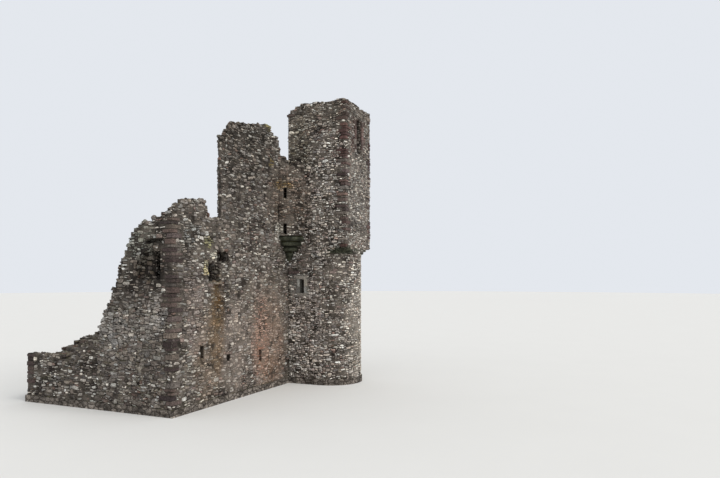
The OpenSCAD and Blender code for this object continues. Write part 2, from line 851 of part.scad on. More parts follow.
long_wall_footings();
gable_footings();
stair_footing();
south_basement_piers();
south_slit_sills();
south_basement_heads();
south_west_corner();
south_window_sill();
south_window_head();
south_hall_wall();
south_east_pier();
south_upper_wall();
west_gable_basement();
west_gable_hall();
west_gable_stump();
north_wall_stump();
north_basement_piers();
north_basement_slit();
north_hall_piers();
north_hall_window();
east_basement_piers();
east_basement_slit();
east_hall_piers();
east_hall_window();
east_upper_gable();
vault_east_bay();
vault_middle_bay();
vault_haunches();
stair_north_piers();
stair_door_infill();
stair_west_side();
stair_east_side();
stair_round_west();
stair_round_east();
stair_window_surround();
corner_corbels();
angle_corbel();
angle_turret();
caphouse_west_wall();
caphouse_east_wall();
caphouse_north_wall();
caphouse_south_wall();
caphouse_window_piers();
caphouse_window_head();
caphouse_floor();
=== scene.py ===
import json
import math
import random

import bmesh
import bpy
import numpy as np
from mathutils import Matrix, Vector
from mathutils.bvhtree import BVHTree


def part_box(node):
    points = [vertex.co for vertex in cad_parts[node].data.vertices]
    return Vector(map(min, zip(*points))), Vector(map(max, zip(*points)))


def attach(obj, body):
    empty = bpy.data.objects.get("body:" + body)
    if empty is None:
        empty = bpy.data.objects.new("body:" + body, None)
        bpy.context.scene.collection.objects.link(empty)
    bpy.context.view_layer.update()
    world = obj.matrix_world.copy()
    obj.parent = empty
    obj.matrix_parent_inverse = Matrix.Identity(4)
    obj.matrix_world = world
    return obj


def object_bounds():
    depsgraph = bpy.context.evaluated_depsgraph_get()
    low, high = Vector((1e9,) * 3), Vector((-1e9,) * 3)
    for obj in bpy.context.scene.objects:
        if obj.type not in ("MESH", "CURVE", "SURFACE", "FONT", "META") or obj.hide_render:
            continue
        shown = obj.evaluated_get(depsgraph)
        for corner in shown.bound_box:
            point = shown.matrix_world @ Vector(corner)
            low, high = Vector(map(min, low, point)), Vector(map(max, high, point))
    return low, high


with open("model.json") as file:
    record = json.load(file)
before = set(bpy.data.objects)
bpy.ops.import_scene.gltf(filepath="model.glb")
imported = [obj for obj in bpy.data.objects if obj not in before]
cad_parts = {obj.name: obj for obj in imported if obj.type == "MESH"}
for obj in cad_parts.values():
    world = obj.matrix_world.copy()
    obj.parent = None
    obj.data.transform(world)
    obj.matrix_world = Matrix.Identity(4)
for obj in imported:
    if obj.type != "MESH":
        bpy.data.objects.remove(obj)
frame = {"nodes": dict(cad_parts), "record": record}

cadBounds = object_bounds()
boxMargin = 0.002  # metres that every stone keeps inside the building's box
boxLow, boxHigh = np.array(cadBounds[0]) + boxMargin, np.array(cadBounds[1]) - boxMargin
farReach = 30.0  # metres, longer than the building
scene = bpy.context.scene
print("keep: frame loaded")

cameraSettings = {
    "place": (-25.80, -19.37, 5.66),  # metres; the eye is 5.66 m above the lowest ground
    "look": (0.915, 0.404, 0.0),  # level line of sight
    "lens": 30.9,  # mm
    "sensor": 36.0,  # mm across
    "rise": 0.0528,  # upward shift, as a share of the picture's width
    "farthest": 600.0,  # metres
}


def makeCamera():
    data = bpy.data.cameras.new("camera")
    data.sensor_width = cameraSettings["sensor"]
    data.lens = cameraSettings["lens"]
    data.shift_y = cameraSettings["rise"]
    data.clip_end = cameraSettings["farthest"]
    camera = bpy.data.objects.new("camera", data)
    scene.collection.objects.link(camera)
    camera.location = cameraSettings["place"]
    camera.rotation_euler = Vector(cameraSettings["look"]).to_track_quat("-Z", "Y").to_euler()
    scene.camera = camera


makeCamera()
print("keep: camera placed")

# where the walls stand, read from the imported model
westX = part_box("west_gable_basement")[0][0]
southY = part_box("south_hall_wall")[0][1]
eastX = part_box("south_east_pier")[1][0]
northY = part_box("north_wall_stump")[1][1]
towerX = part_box("caphouse_west_wall")[0][0]
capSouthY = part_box("caphouse_south_wall")[0][1]
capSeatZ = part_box("caphouse_west_wall")[0][2]
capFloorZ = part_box("caphouse_floor")[1][2]
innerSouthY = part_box("south_hall_wall")[1][1]
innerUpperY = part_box("south_upper_wall")[1][1]
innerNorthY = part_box("north_wall_stump")[0][1]
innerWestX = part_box("west_gable_basement")[1][0]
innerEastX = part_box("east_hall_piers")[0][0]
roomLow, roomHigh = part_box("caphouse_floor")  # the caphouse room in plan
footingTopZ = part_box("stair_footing")[1][2]
clearZ = footingTopZ + 0.05  # no loose stone lies lower
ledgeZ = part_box("south_upper_wall")[0][2]
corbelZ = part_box("corner_corbels")[0][2]
turretLow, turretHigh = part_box("angle_turret")
towerMid = ((towerX + eastX) / 2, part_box("stair_round_west")[1][1])
towerRadius = (eastX - towerX) / 2
turretRadius = towerX - turretLow[0]
topZ = cadBounds[1][2]


# The solids as one search tree, so that every stone is laid where a wall really stands.
# Dressed stones join the tree later, and the rubble then stops at them.
class WallTree:
    def __init__(self):
        self.points = []
        self.faces = []
        self.owners = []
        self.solids = []
        for name, solid in frame["nodes"].items():
            points = [v.co.copy() for v in solid.data.vertices]
            faces = [tuple(p.vertices) for p in solid.data.polygons]
            self.add(name, points, faces)
            self.solids.append((*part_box(name), BVHTree.FromPolygons(points, faces)))
        self.plant()

    def add(self, name, points, faces):
        first = len(self.points)
        self.points += points
        self.faces += [tuple(first + i for i in face) for face in faces]
        self.owners += [name] * len(faces)

    def plant(self):
        self.tree = BVHTree.FromPolygons(self.points, self.faces)

    def cast(self, start, towards, reach):
        return self.tree.ray_cast(start, towards, reach)

    # True inside one of the solids
    def covers(self, point, towards):
        for low, high, tree in self.solids:
            if all(a < p < b for a, p, b in zip(low, point, high)):
                hit, normal, index, distance = tree.ray_cast(point, towards, farReach)
                if hit is not None and normal.dot(towards) > 0.0:
                    return True
        return False


walls = WallTree()


# A flat face of wall: u runs to the right as seen from outside, v is the height
class FlatFace:
    def __init__(self, start, outward, span, low, high):
        self.start = start
        self.outward = Vector((outward[0], outward[1], 0.0))
        self.along = Vector((-outward[1], outward[0], 0.0))
        self.span, self.low, self.high = span, low, high

    def spot(self, u, v, out=0.0):
        along, outward = self.along, self.outward
        return Vector((self.start[0] + along.x * u + outward.x * out,
                       self.start[1] + along.y * u + outward.y * out, v))

    def away(self, u, v):
        return self.outward

    def place(self, u, v, out):
        x = self.start[0] + self.along.x * u + self.outward.x * out
        y = self.start[1] + self.along.y * u + self.outward.y * out
        return np.stack([x, y, v], axis=-1)


# A round wall, with u measured along its arc
class RoundFace:
    def __init__(self, centre, radius, turnFrom, turnTo, low, high):
        self.centre, self.radius, self.turnFrom = centre, radius, turnFrom
        self.span, self.low, self.high = radius * (turnTo - turnFrom), low, high

    def away(self, u, v):
        turn = self.turnFrom + u / self.radius
        return Vector((math.cos(turn), math.sin(turn), 0.0))

    def spot(self, u, v, out=0.0):
        side = self.away(u, v) * (self.radius + out)
        return Vector((self.centre[0] + side.x, self.centre[1] + side.y, v))

    def place(self, u, v, out):
        turn = self.turnFrom + u / self.radius
        reach = self.radius + out
        x = self.centre[0] + reach * np.cos(turn)
        y = self.centre[1] + reach * np.sin(turn)
        return np.stack([x, y, v], axis=-1)


# The vault's underside, with u along the block and v round its curve
class VaultFace:
    def __init__(self, eastEnd, westEnd, middle, radius, reach):
        self.eastEnd, self.middle, self.radius = eastEnd, middle, radius
        self.span, self.low, self.high = eastEnd - westEnd, -reach, reach

    def away(self, u, v):
        turn = v / self.radius
        return Vector((0.0, -math.sin(turn), -math.cos(turn)))

    def spot(self, u, v, out=0.0):
        side = self.away(u, v) * (out - self.radius)
        return Vector((self.eastEnd - u, self.middle[0] + side.y, self.middle[1] + side.z))

    def place(self, u, v, out):
        turn = v / self.radius
        reach = self.radius - out
        y = self.middle[0] + reach * np.sin(turn)
        z = self.middle[1] + reach * np.cos(turn)
        return np.stack([self.eastEnd - u, y, z], axis=-1)


# One stone of unit size, its back at zero depth and its face at one. Some of its corners are cut off, its
# face's edges are softened, and the face may stand up to a point, or the whole stone narrow to it.
class StoneShape:
    def __init__(self, seed, cutCorners, cut, soften, rough, dome=0.0, boxed=False, taper=0.0):
        draw = random.Random(seed)
        bm = bmesh.new()
        bmesh.ops.create_cube(bm, size=1.0)
        bmesh.ops.translate(bm, vec=(0.0, 0.0, 0.5), verts=bm.verts)
        if cutCorners:
            uprights = [e for e in bm.edges if abs(e.verts[0].co.z - e.verts[1].co.z) > 0.5]
            self.bevel(bm, draw.sample(uprights, cutCorners), cut)
        if boxed:
            self.bevel(bm, list(bm.edges), soften)
        elif taper:
            front = [v for v in bm.verts if v.co.z > 0.5]
            bmesh.ops.scale(bm, vec=(1.0 - taper, 1.0 - taper, 1.0), verts=front)
        else:
            self.bevel(bm, [e for e in bm.edges if min(v.co.z for v in e.verts) > 0.99], soften)
        if dome:
            front = [f for f in bm.faces if min(v.co.z for v in f.verts) > 0.99]
            bmesh.ops.poke(bm, faces=front, offset=dome, center_mode="MEAN")
        # a bevel gives its corners in another order each run, so they are numbered by place
        corners = sorted(bm.verts, key=lambda v: [round(x, 3) for x in v.co])
        numbers = {corner: number for number, corner in enumerate(corners)}
        for corner in corners:
            corner.co.x *= 1.0 - draw.random() * rough
            corner.co.y *= 1.0 - draw.random() * rough
            if corner.co.z > 0.5:
                corner.co.z += draw.uniform(-1.4, 0.2) * rough
        bmesh.ops.recalc_face_normals(bm, faces=bm.faces)
        self.points = np.array([corner.co[:] for corner in corners])
        faces = sorted(self.fromLowest([numbers[v] for v in face.verts]) for face in bm.faces)
        self.loops = np.array([i for face in faces for i in face])
        self.sizes = np.array([len(face) for face in faces])
        bm.free()

    # the same corners in the same turn, with the lowest number first
    def fromLowest(self, face):
        start = face.index(min(face))
        return face[start:] + face[:start]

    def bevel(self, bm, edges, offset):
        bmesh.ops.bevel(bm, geom=edges, offset=offset, offset_type="OFFSET", segments=1, profile=0.5,
                        affect="EDGES", clamp_overlap=True, material=-1)


cornersCut = (2, 3, 3, 2, 4, 1, 4, 3, 2, 4)  # how many corners each shape of wall stone has lost
rubbleShapes = [StoneShape(10 + i, count, 0.17 + 0.03 * (i % 4), 0.17, 0.17, 0.09)
                for i, count in enumerate(cornersCut)]
smallShapes = [StoneShape(30 + i, i % 3, 0.24, 0.20, 0.20) for i in range(6)]
tinyShapes = [StoneShape(50 + i, 0, 0.0, 0.0, 0.24, taper=0.18) for i in range(6)]
brokenShapes = [StoneShape(40 + i, 2 + i % 3, 0.24, 0.22, 0.30, 0.12) for i in range(6)]
dressedShapes = [StoneShape(60 + i, 0, 0.0, 0.07, 0.05) for i in range(4)]
blockShapes = [StoneShape(80 + i, 0, 0.0, 0.075, 0.10, boxed=True) for i in range(6)]


# Stones of one piece, gathered and then joined into one mesh
class StonePile:
    def __init__(self, name, slot):
        self.name, self.slot = name, slot
        self.points, self.loops, self.sizes, self.tints = [], [], [], []
        self.count = 0

    # a stone that would stand outside the building's box is pushed back in
    def add(self, points, shape, tint):
        points = points - np.maximum(points.max(0) - boxHigh, 0.0)
        points = points + np.maximum(boxLow - points.min(0), 0.0)
        self.points.append(points)
        self.loops.append(shape.loops + self.count)
        self.sizes.append(shape.sizes)
        self.tints.append(np.tile((*tint, 1.0), (len(points), 1)))
        self.count += len(points)

    def join(self, material):
        points = np.concatenate(self.points)
        loops = np.concatenate(self.loops)
        sizes = np.concatenate(self.sizes)
        mesh = bpy.data.meshes.new(self.name)
        mesh.vertices.add(len(points))
        mesh.vertices.foreach_set("co", points.ravel())
        mesh.loops.add(len(loops))
        mesh.loops.foreach_set("vertex_index", loops)
        mesh.polygons.add(len(sizes))
        mesh.polygons.foreach_set("loop_start", np.concatenate([[0], np.cumsum(sizes)[:-1]]))
        mesh.polygons.foreach_set("use_smooth", np.zeros(len(sizes), dtype=bool))
        tint = mesh.color_attributes.new(name="tint", type="FLOAT_COLOR", domain="POINT")
        tint.data.foreach_set("color", np.concatenate(self.tints).ravel())
        mesh.update()
        mesh.validate()
        mesh.materials.append(material)
        piece = bpy.data.objects.new(self.name, mesh)
        scene.collection.objects.link(piece)
        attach(piece, "root")
        self.triangles = int((sizes - 2).sum())
        print("keep:", self.name, len(self.points), "stones", self.triangles, "triangles")


def linear(red, green, blue):
    return tuple((c / 255.0) ** 2.2 for c in (red, green, blue))


# Colours that the stones are drawn from: how often each comes, then its red, green and blue
stonePalettes = {
    "wall": [(0.13, 190, 185, 175), (0.24, 152, 146, 138), (0.27, 126, 117, 110), (0.19, 94, 87, 83),
             (0.07, 112, 92, 85), (0.10, 64, 58, 56)],
    "bold": [(0.17, 198, 193, 184), (0.22, 158, 152, 144), (0.21, 124, 116, 109), (0.19, 88, 81, 77),
             (0.06, 108, 90, 84), (0.15, 54, 49, 47)],
    "dark": [(0.08, 152, 146, 136), (0.26, 122, 115, 107), (0.34, 100, 92, 86), (0.24, 76, 69, 65),
             (0.08, 94, 76, 68)],
    "brown": [(0.28, 98, 85, 80), (0.34, 84, 71, 68), (0.28, 70, 60, 58), (0.10, 120, 110, 102)],
    "red": [(0.40, 86, 66, 62), (0.22, 74, 58, 55), (0.14, 108, 88, 80), (0.24, 124, 115, 107)],
    "grey": [(0.45, 134, 132, 124), (0.35, 118, 116, 110), (0.20, 150, 146, 136)],
    # near black: the painted shadow of a hollow, with dark earth in it
    "hollowEarthAndShade": [(1.0, 32, 28, 25)],
    "vault": [(0.4, 132, 120, 106), (0.35, 110, 98, 88), (0.25, 148, 138, 124)],
}
stoneColours = {name: [(share, linear(*colour)) for share, *colour in stones]
                for name, stones in stonePalettes.items()}


# A stain, wash or patch of lichen, or painted shade: its middle and reach in metres, its colour and strength,
# and how far the stones in it lie flush with their mortar, or are weathered deep, where their joints are
# painted near-black as shade
def stain(middle, reach, colour, share, flush=0.0, deep=0.0):
    return {"middle": middle, "reach": reach, "colour": linear(*colour), "share": share,
            "flush": flush, "deep": deep}


stains = {
    "ruddy wash": stain((1.1, southY, 2.2), (1.6, 0.9, 2.6), (160, 130, 110), 0.60, flush=0.7),
    "red streak": stain((0.28, southY, 2.8), (0.8, 0.9, 2.2), (178, 120, 98), 0.48),
    "pale wash": stain((0.7, southY, 3.9), (2.5, 0.9, 2.4), (152, 136, 123), 0.34, flush=0.5),
    "ochre streak": stain((-3.20, southY, 3.4), (0.60, 0.9, 2.5), (94, 70, 36), 0.88, flush=0.5),
    "buff wash": stain((-3.9, southY, 2.4), (1.0, 0.9, 2.4), (158, 138, 118), 0.42, flush=0.6),
    "grey wash": stain((-1.8, southY, 2.4), (1.4, 0.9, 2.6), (162, 147, 136), 0.45, flush=0.7),
    "brown turret": stain((2.4, southY - 0.2, 9.8), (1.5, 1.3, 1.9), (122, 101, 84), 0.58),
    "ochre over slit": stain((2.1, southY, 10.45), (0.55, 0.8, 0.26), (150, 122, 70), 0.62),
    "ochre spot": stain((1.2, southY, 11.5), (0.28, 0.4, 0.24), (164, 142, 70), 0.78),
    "mossy corner": stain((0.94, southY, 13.3), (0.36, 0.7, 0.24), (128, 122, 62), 0.62),
    "pale by turret": stain((1.9, southY, 8.15), (0.32, 0.4, 0.45), (176, 174, 164), 0.75),
    "pale by closet": stain((-5.0, southY, 7.5), (0.7, 0.4, 0.45), (166, 166, 160), 0.55),
    "lime by window": stain((-3.46, southY, 6.62), (0.24, 0.4, 0.34), (200, 194, 176), 0.85),
    "yellow lichen": stain((-3.96, southY, 6.05), (0.22, 0.4, 0.36), (196, 184, 138), 0.80),
    "green lichen": stain((-3.85, southY, 7.15), (0.35, 0.4, 0.3), (142, 140, 92), 0.65),
    "pale gable edge": stain((westX, -0.6, 7.2), (0.9, 1.0, 1.0), (158, 163, 150), 0.50),
    # painted shadow in the gable's hollow: darker stones, near-black mortar and fallen-stone plates
    "painted shadow in gable hollow": stain((westX, -1.2, 6.1), (0.6, 1.1, 1.2), (78, 68, 60), 0.58, deep=0.85),
    "grey gable": stain((westX, 0.2, 3.4), (0.8, 2.4, 1.5), (166, 160, 152), 0.18),
    "dark gable": stain((westX, 0.4, 5.0), (0.8, 1.2, 0.9), (84, 76, 70), 0.40, deep=0.4),
    "dark corner top": stain((-5.3, southY, 8.0), (0.9, 0.8, 0.6), (112, 106, 96), 0.30, deep=0.5),
    "pale tower": stain((4.9, capSouthY + 0.4, 2.8), (1.4, 1.2, 4.6), (180, 172, 160), 0.42, flush=0.5),
    "pale caphouse": stain((4.6, capSouthY, 10.2), (1.7, 0.5, 3.2), (172, 166, 157), 0.24, flush=0.15),
    "mossy caphouse": stain((towerX, -3.1, 12.6), (0.5, 0.8, 1.6), (92, 88, 66), 0.45),
    "dark ragged top": stain((-1.0, southY, 12.2), (2.8, 0.8, 2.0), (88, 83, 73), 0.38, deep=0.6),
    "dark ragged foot": stain((-1.0, southY, 9.6), (2.4, 0.8, 1.8), (100, 92, 86), 0.22, deep=0.3),
    "dark by corner": stain((-5.2, southY, 5.2), (1.0, 0.8, 1.4), (88, 78, 73), 0.48),
    # painted shade on the tower just below the caphouse's corbelled corner
    "painted shade on tower side": stain((3.2, -3.4, 6.5), (1.0, 1.3, 1.1), (90, 87, 86), 0.34),
    "gable band": stain((westX, 0.6, 4.6), (0.8, 1.6, 0.6), (84, 78, 74), 0.30),
    "white by quoins": stain((westX, -1.6, 4.2), (0.5, 0.5, 0.8), (196, 190, 184), 0.42),
    "pale gable foot": stain((westX, 0.8, 3.5), (0.8, 1.6, 0.7), (176, 172, 166), 0.26),
    "grey tower side": stain((3.1, -3.5, 2.8), (0.7, 1.3, 3.4), (164, 155, 148), 0.40),
    "rosy wash": stain((-4.7, southY, 4.2), (0.7, 0.9, 2.0), (158, 143, 135), 0.40, flush=0.4),
    "dark south eaves": stain((4.6, capSouthY, 14.2), (1.9, 0.5, 0.9), (88, 82, 74), 0.45),
    "dark west eaves": stain((towerX, -4.2, 14.2), (0.5, 2.0, 0.9), (92, 86, 74), 0.50),
    "pale caphouse side": stain((towerX, -4.6, 9.2), (0.5, 1.0, 3.4), (176, 170, 162), 0.30),
    # painted shadow under the caphouse's corbelled corner, with damp green in it
    "damp and painted shadow under corner": stain((towerX, capSouthY, 7.0), (0.9, 0.9, 0.3), (60, 64, 50), 0.80),
}
stainFade = (0.5, 1.25)  # a stain is full within the first share of its reach, and gone at the second

# How the stones' colours vary
tinting = {
    "taken": (0.6, 1.0),  # how strongly a stone takes its stain
    "stainLight": (0.82, 1.18),
    "light": (0.62, 1.46),
    "warmth": 0.05,
    "darkest": 0.008,
}


def stainStrength(zone, point):
    away = math.sqrt(sum(((p - m) / r) ** 2 for p, m, r in zip(point, zone["middle"], zone["reach"])))
    full, gone = stainFade
    t = min(1.0, max(0.0, (gone - away) / (gone - full)))
    return zone["share"] * t * t * (3.0 - 2.0 * t)


# How far a stretch of wall is washed flush, or weathered deep, at a point
def wear(kind, point):
    return max(zone[kind] * stainStrength(zone, point) / zone["share"] for zone in stains.values())


def mixed(a, b, share):
    return a + (b - a) * share


# One of some rows that start with how often each comes
def pickRow(draw, rows):
    pick = draw.random()
    for row in rows:
        pick -= row[0]
        if pick <= 0.0:
            break
    return row


# One stone's colour. The calmer it is, the nearer it comes to the palette's middle.
def pickTint(draw, palette, point, gain=1.0, calm=0.0):
    colours = stoneColours[palette]
    picked = pickRow(draw, colours)[1]
    middle = [sum(share * c[side] for share, c in colours) for side in range(3)]
    tint = [mixed(c, m, calm) for c, m in zip(picked, middle)]
    for zone in stains.values():
        strength = stainStrength(zone, point)
        if strength > 0.0:
            strength *= draw.uniform(*tinting["taken"])
            light = draw.uniform(*tinting["stainLight"])
            tint = [t + (z * light - t) * strength for t, z in zip(tint, zone["colour"])]
    light = gain * mixed(draw.uniform(*tinting["light"]), 1.0, calm)
    warm = draw.uniform(-tinting["warmth"], tinting["warmth"])
    sides = zip(tint, (1.0, 0.0, -1.0))
    return tuple(max(tinting["darkest"], t * light * (1.0 + warm * side)) for t, side in sides)


# Ways of laying the walls; lengths in metres. "sizes" lists how often a kind of stone comes,
# its least and greatest width, and its least and greatest height. "hollow" says how often a small
# stone has fallen out; its hollow gets a near-black plate, painted shadow with dark earth in it.
layings = {
    "rubble": {
        "sizes": [(0.05, 0.26, 0.44, 0.13, 0.20), (0.38, 0.16, 0.32, 0.08, 0.14),
                  (0.57, 0.09, 0.20, 0.045, 0.085)],
        "joint": (0.005, 0.017), "proud": (0.020, 0.070), "hollow": 0.24, "palette": "wall",
    },
    "gable": {
        "sizes": [(0.06, 0.24, 0.42, 0.12, 0.19), (0.36, 0.14, 0.30, 0.07, 0.13),
                  (0.58, 0.08, 0.18, 0.042, 0.08)],
        "joint": (0.006, 0.019), "proud": (0.022, 0.074), "hollow": 0.27, "palette": "bold",
    },
    "fine": {
        "sizes": [(0.03, 0.22, 0.38, 0.11, 0.16), (0.36, 0.13, 0.27, 0.07, 0.12),
                  (0.61, 0.08, 0.18, 0.042, 0.078)],
        "joint": (0.005, 0.016), "proud": (0.018, 0.062), "hollow": 0.21, "palette": "wall",
    },
    "inner": {
        "sizes": [(0.28, 0.30, 0.52, 0.15, 0.25), (0.47, 0.19, 0.38, 0.10, 0.17),
                  (0.25, 0.12, 0.24, 0.055, 0.10)],
        "joint": (0.006, 0.018), "proud": (0.018, 0.052), "hollow": 0.06, "palette": "dark",
    },
    "broken": {
        "sizes": [(0.20, 0.26, 0.44, 0.15, 0.24), (0.50, 0.16, 0.32, 0.10, 0.17),
                  (0.30, 0.10, 0.20, 0.06, 0.11)],
        "joint": (0.004, 0.014), "proud": (0.012, 0.125), "most": 0.125, "hollow": 0.10, "palette": "dark",
    },
    "vault": {
        "sizes": [(0.50, 0.34, 0.60, 0.14, 0.22), (0.50, 0.24, 0.44, 0.10, 0.16)],
        "joint": (0.005, 0.014), "proud": (0.015, 0.040), "hollow": 0.05, "palette": "vault",
    },
    # a near-black plate in a hollow: painted shadow, with dark earth in it
    "hollowEarthAndShade": {"joint": (0.0, 0.004), "proud": (0.002, 0.006), "palette": "hollowEarthAndShade"},  # fills a hollow
}

bareNodes = {"angle_corbel", "dressed"}  # no rubble lies on these
probing = {
    "stand": 0.12,  # metres before a face, from where a ray looks back for the wall
    "reach": 0.135,
    "slack": 0.012,  # metres that the wall may lie from the face
    "lift": 0.016,  # metres before a wall, from where a ray looks for what covers it
    "room": 0.30,  # metres of free air that a stone needs
}


# True where the face really carries a stone at u, v
def carries(face, u, v):
    stand = probing["stand"]
    hit, normal, index, distance = walls.cast(face.spot(u, v, stand), -face.away(u, v), probing["reach"])
    found = hit is not None and abs(distance - stand) < probing["slack"]
    return found and walls.owners[index] not in bareNodes


# False where another wall covers this spot or stands too close before it
def isOpen(point, outward, room=probing["room"]):
    start = point + outward * probing["lift"]
    hit, normal, index, distance = walls.cast(start, outward, room)
    return hit is None and not walls.covers(start, outward)


# The longest carried run of evenly spaced samples, as shares of the whole
def longestRun(flags):
    best, start = (0, 0), None
    for i, flag in enumerate(list(flags) + [False]):
        if flag and start is None:
            start = i
        if not flag and start is not None:
            if i - start > best[1] - best[0]:
                best = (start, i)
            start = None
    return best[0] / len(flags), best[1] / len(flags)


# The longest carried run of evenly spaced samples between two ends
def carriedRun(face, a, b, count=8):
    shares = [(i + 0.5) / count for i in range(count)]
    return longestRun([carries(face, mixed(a[0], b[0], s), mixed(a[1], b[1], s)) for s in shares])


packing = {
    "past": 0.2,  # metres that the stones run past the face's ends
    "under": 0.05,  # and start under its foot
    "tight": 0.11,  # a gap narrower than this is filled up to the stones beside it
    "plug": (0.05, 0.30),  # least and greatest height of such a filling
    "sliver": 0.09,  # no gap narrower than this is left
    "stretch": 1.25,  # how many times its kind's greatest width a stone may fill
    "level": 0.04,  # a stone this near in height to its neighbour is made level with it
    "hair": 0.001,  # metres that don't matter
}


# Neighbouring tops at one level become one
def joinTops(tops):
    joined = [tops[0]]
    for top in tops[1:]:
        if abs(top[2] - joined[-1][2]) < packing["hair"]:
            joined[-1][1] = top[1]
        else:
            joined.append(top)
    return joined


# Rubble as it is built up: each stone goes on the lowest place left. Gives the left, right, low and high
# of each stone's cell.
def packCells(draw, span, low, high, sizes):
    tops = [[-packing["past"], span + packing["past"], low]]
    cells = []
    while True:
        index = min(range(len(tops)), key=lambda i: tops[i][2])
        left, right, level = tops[index]
        if level >= high:
            return cells
        gap = right - left
        beside = [tops[i][2] for i in (index - 1, index + 1) if 0 <= i < len(tops)]
        share, widthLow, widthHigh, heightLow, heightHigh = pickRow(draw, sizes)
        width = draw.uniform(widthLow, widthHigh)
        height = draw.uniform(heightLow, heightHigh)
        if gap < packing["tight"] and beside:
            height = min(max(min(beside) - level, packing["plug"][0]), packing["plug"][1])
        if gap - width < packing["sliver"]:
            width = gap if gap < widthHigh * packing["stretch"] else gap / 2
        atLeft = draw.random() < 0.5
        top = level + height
        for edge in beside:
            if abs(edge - top) < packing["level"] and edge > level:
                top = edge
        cell = (left, left + width) if atLeft else (right - width, right)
        cells.append((*cell, level, top))
        new = [[*cell, top]]
        rest = [cell[1], right, level] if atLeft else [left, cell[0], level]
        if rest[1] - rest[0] > packing["hair"]:
            new.insert(1 if atLeft else 0, rest)
        tops[index:index + 1] = new
        tops = joinTops(tops)


# The uneven run of the joints, as waves: their size in metres, their pace along and up in radians a metre,
# and how far a face's own phase moves them
jointWaves = {
    "along": [(0.020, 6.1, 9.3, 1.0), (0.014, -7.7, 17.0, 2.0)],
    "up": [(0.022, 5.3, -3.9, 3.0), (0.016, 13.9, 6.1, 1.0)],
}


# How far a point of a face is shifted along and up
def wander(u, v, phase):
    return [sum(size * np.sin(paceU * u + paceV * v + turn * phase) for size, paceU, paceV, turn in waves)
            for waves in jointWaves.values()]


# How a stone is bedded; lengths in metres
bedding = {
    "inset": 0.015,  # how far inside its cell's corners the wall is looked for
    "least": (0.05, 0.035),  # a cell cut back below this width or height stays empty
    "fallen": (0.4, 0.03),  # how often, and up to what area, a stone is gone where the wall is weathered
    "flushed": 0.62,  # how much less a stone stands proud where its mortar is flush
    "small": (0.075, 0.11),  # below these widths or heights a stone has the plainest, or a plain, shape
    "tilt": ((-0.4, 0.4), (-0.4, 0.3)),
    "back": 0.05,  # how deep a stone's back lies in the wall
    "most": 0.076,  # how far a stone may stand proud
    "calm": (0.09, 0.6),  # stones of this area or more come nearer to the palette's middle, by this share
    "holeSize": 0.14,  # only a cell narrower or lower than this can be hollow
}


# Cuts a cell back to what the wall carries. Gives None where that is too small for a stone.
def cutBack(face, left, right, low, high, midU, midV):
    inset = bedding["inset"]
    tests = ((midU, midV), (left + inset, low + inset), (right - inset, low + inset),
             (left + inset, high - inset), (right - inset, high - inset))
    flags = [carries(face, *spot) for spot in tests]
    if all(flags):
        return left, right, low, high, midU, midV
    if not any(flags):
        return None
    run = carriedRun(face, (left, midV), (right, midV))
    left, right = mixed(left, right, run[0]), mixed(left, right, run[1])
    midU = (left + right) / 2
    run = carriedRun(face, (midU, low), (midU, high))
    low, high = mixed(low, high, run[0]), mixed(low, high, run[1])
    if right - left < bedding["least"][0] or high - low < bedding["least"][1]:
        return None
    return left, right, low, high, midU, (low + high) / 2


# Lays one stone in a cell of a face
def layStone(pile, face, draw, cell, way, shapes, phase, gain):
    left, right, low, high = cell
    midU, midV = (left + right) / 2, (low + high) / 2
    along, up = wander(midU, midV, phase)
    cell = cutBack(face, left + along, right + along, low + up, high + up, midU + along, midV + up)
    if cell is None:
        return
    left, right, low, high, midU, midV = cell
    outward = face.away(midU, midV)
    where = face.spot(midU, midV)
    if not isOpen(where, outward):
        return
    area = (right - left) * (high - low)
    # where the wall is weathered deep, a fallen stone leaves a near-black plate, the painted shadow of its
    # hollow
    if draw.random() < wear("deep", where) * bedding["fallen"][0] and area < bedding["fallen"][1]:
        way = layings["hollowEarthAndShade"]
    joint = draw.uniform(*way["joint"])
    proud = draw.uniform(*way["proud"]) * (1.0 - bedding["flushed"] * wear("flush", where))
    narrow = min(right - left, high - low)
    if narrow < bedding["small"][1]:
        shapes = tinyShapes if narrow < bedding["small"][0] else smallShapes
    shape = draw.choice(shapes)
    a, b, c = shape.points.T
    if draw.random() < 0.5:
        a, b = -a, -b
    u = mixed(left + joint, right - joint, a + 0.5)
    v = mixed(low + joint, high - joint, b + 0.5)
    shiftU, shiftV = wander(u - along, v - up, phase)
    tiltU, tiltV = (draw.uniform(*tilt) for tilt in bedding["tilt"])
    front = proud * (1.0 + tiltU * a + tiltV * b)
    out = np.minimum(-bedding["back"] + c * (bedding["back"] + front), way.get("most", bedding["most"]))
    calm = min(1.0, area / bedding["calm"][0]) * bedding["calm"][1]
    tint = pickTint(draw, way["palette"], where, gain, calm)
    pile.add(face.place(u + shiftU - along, v + shiftV - up, out), shape, tint)


# Fills a face with random rubble
def layRubble(pile, face, way, shapes, seed, gain=1.0):
    draw = random.Random(seed)
    phase = draw.uniform(0.0, 6.0)
    for cell in packCells(draw, face.span, face.low - packing["under"], face.high, way["sizes"]):
        small = min(cell[1] - cell[0], cell[3] - cell[2]) < bedding["holeSize"]
        # a small stone that has fallen out leaves a near-black plate, the painted shadow of its hollow
        if small and draw.random() < way["hollow"]:
            layStone(pile, face, draw, cell, layings["hollowEarthAndShade"], smallShapes, phase, 1.0)
        else:
            layStone(pile, face, draw, cell, way, shapes, phase, gain)


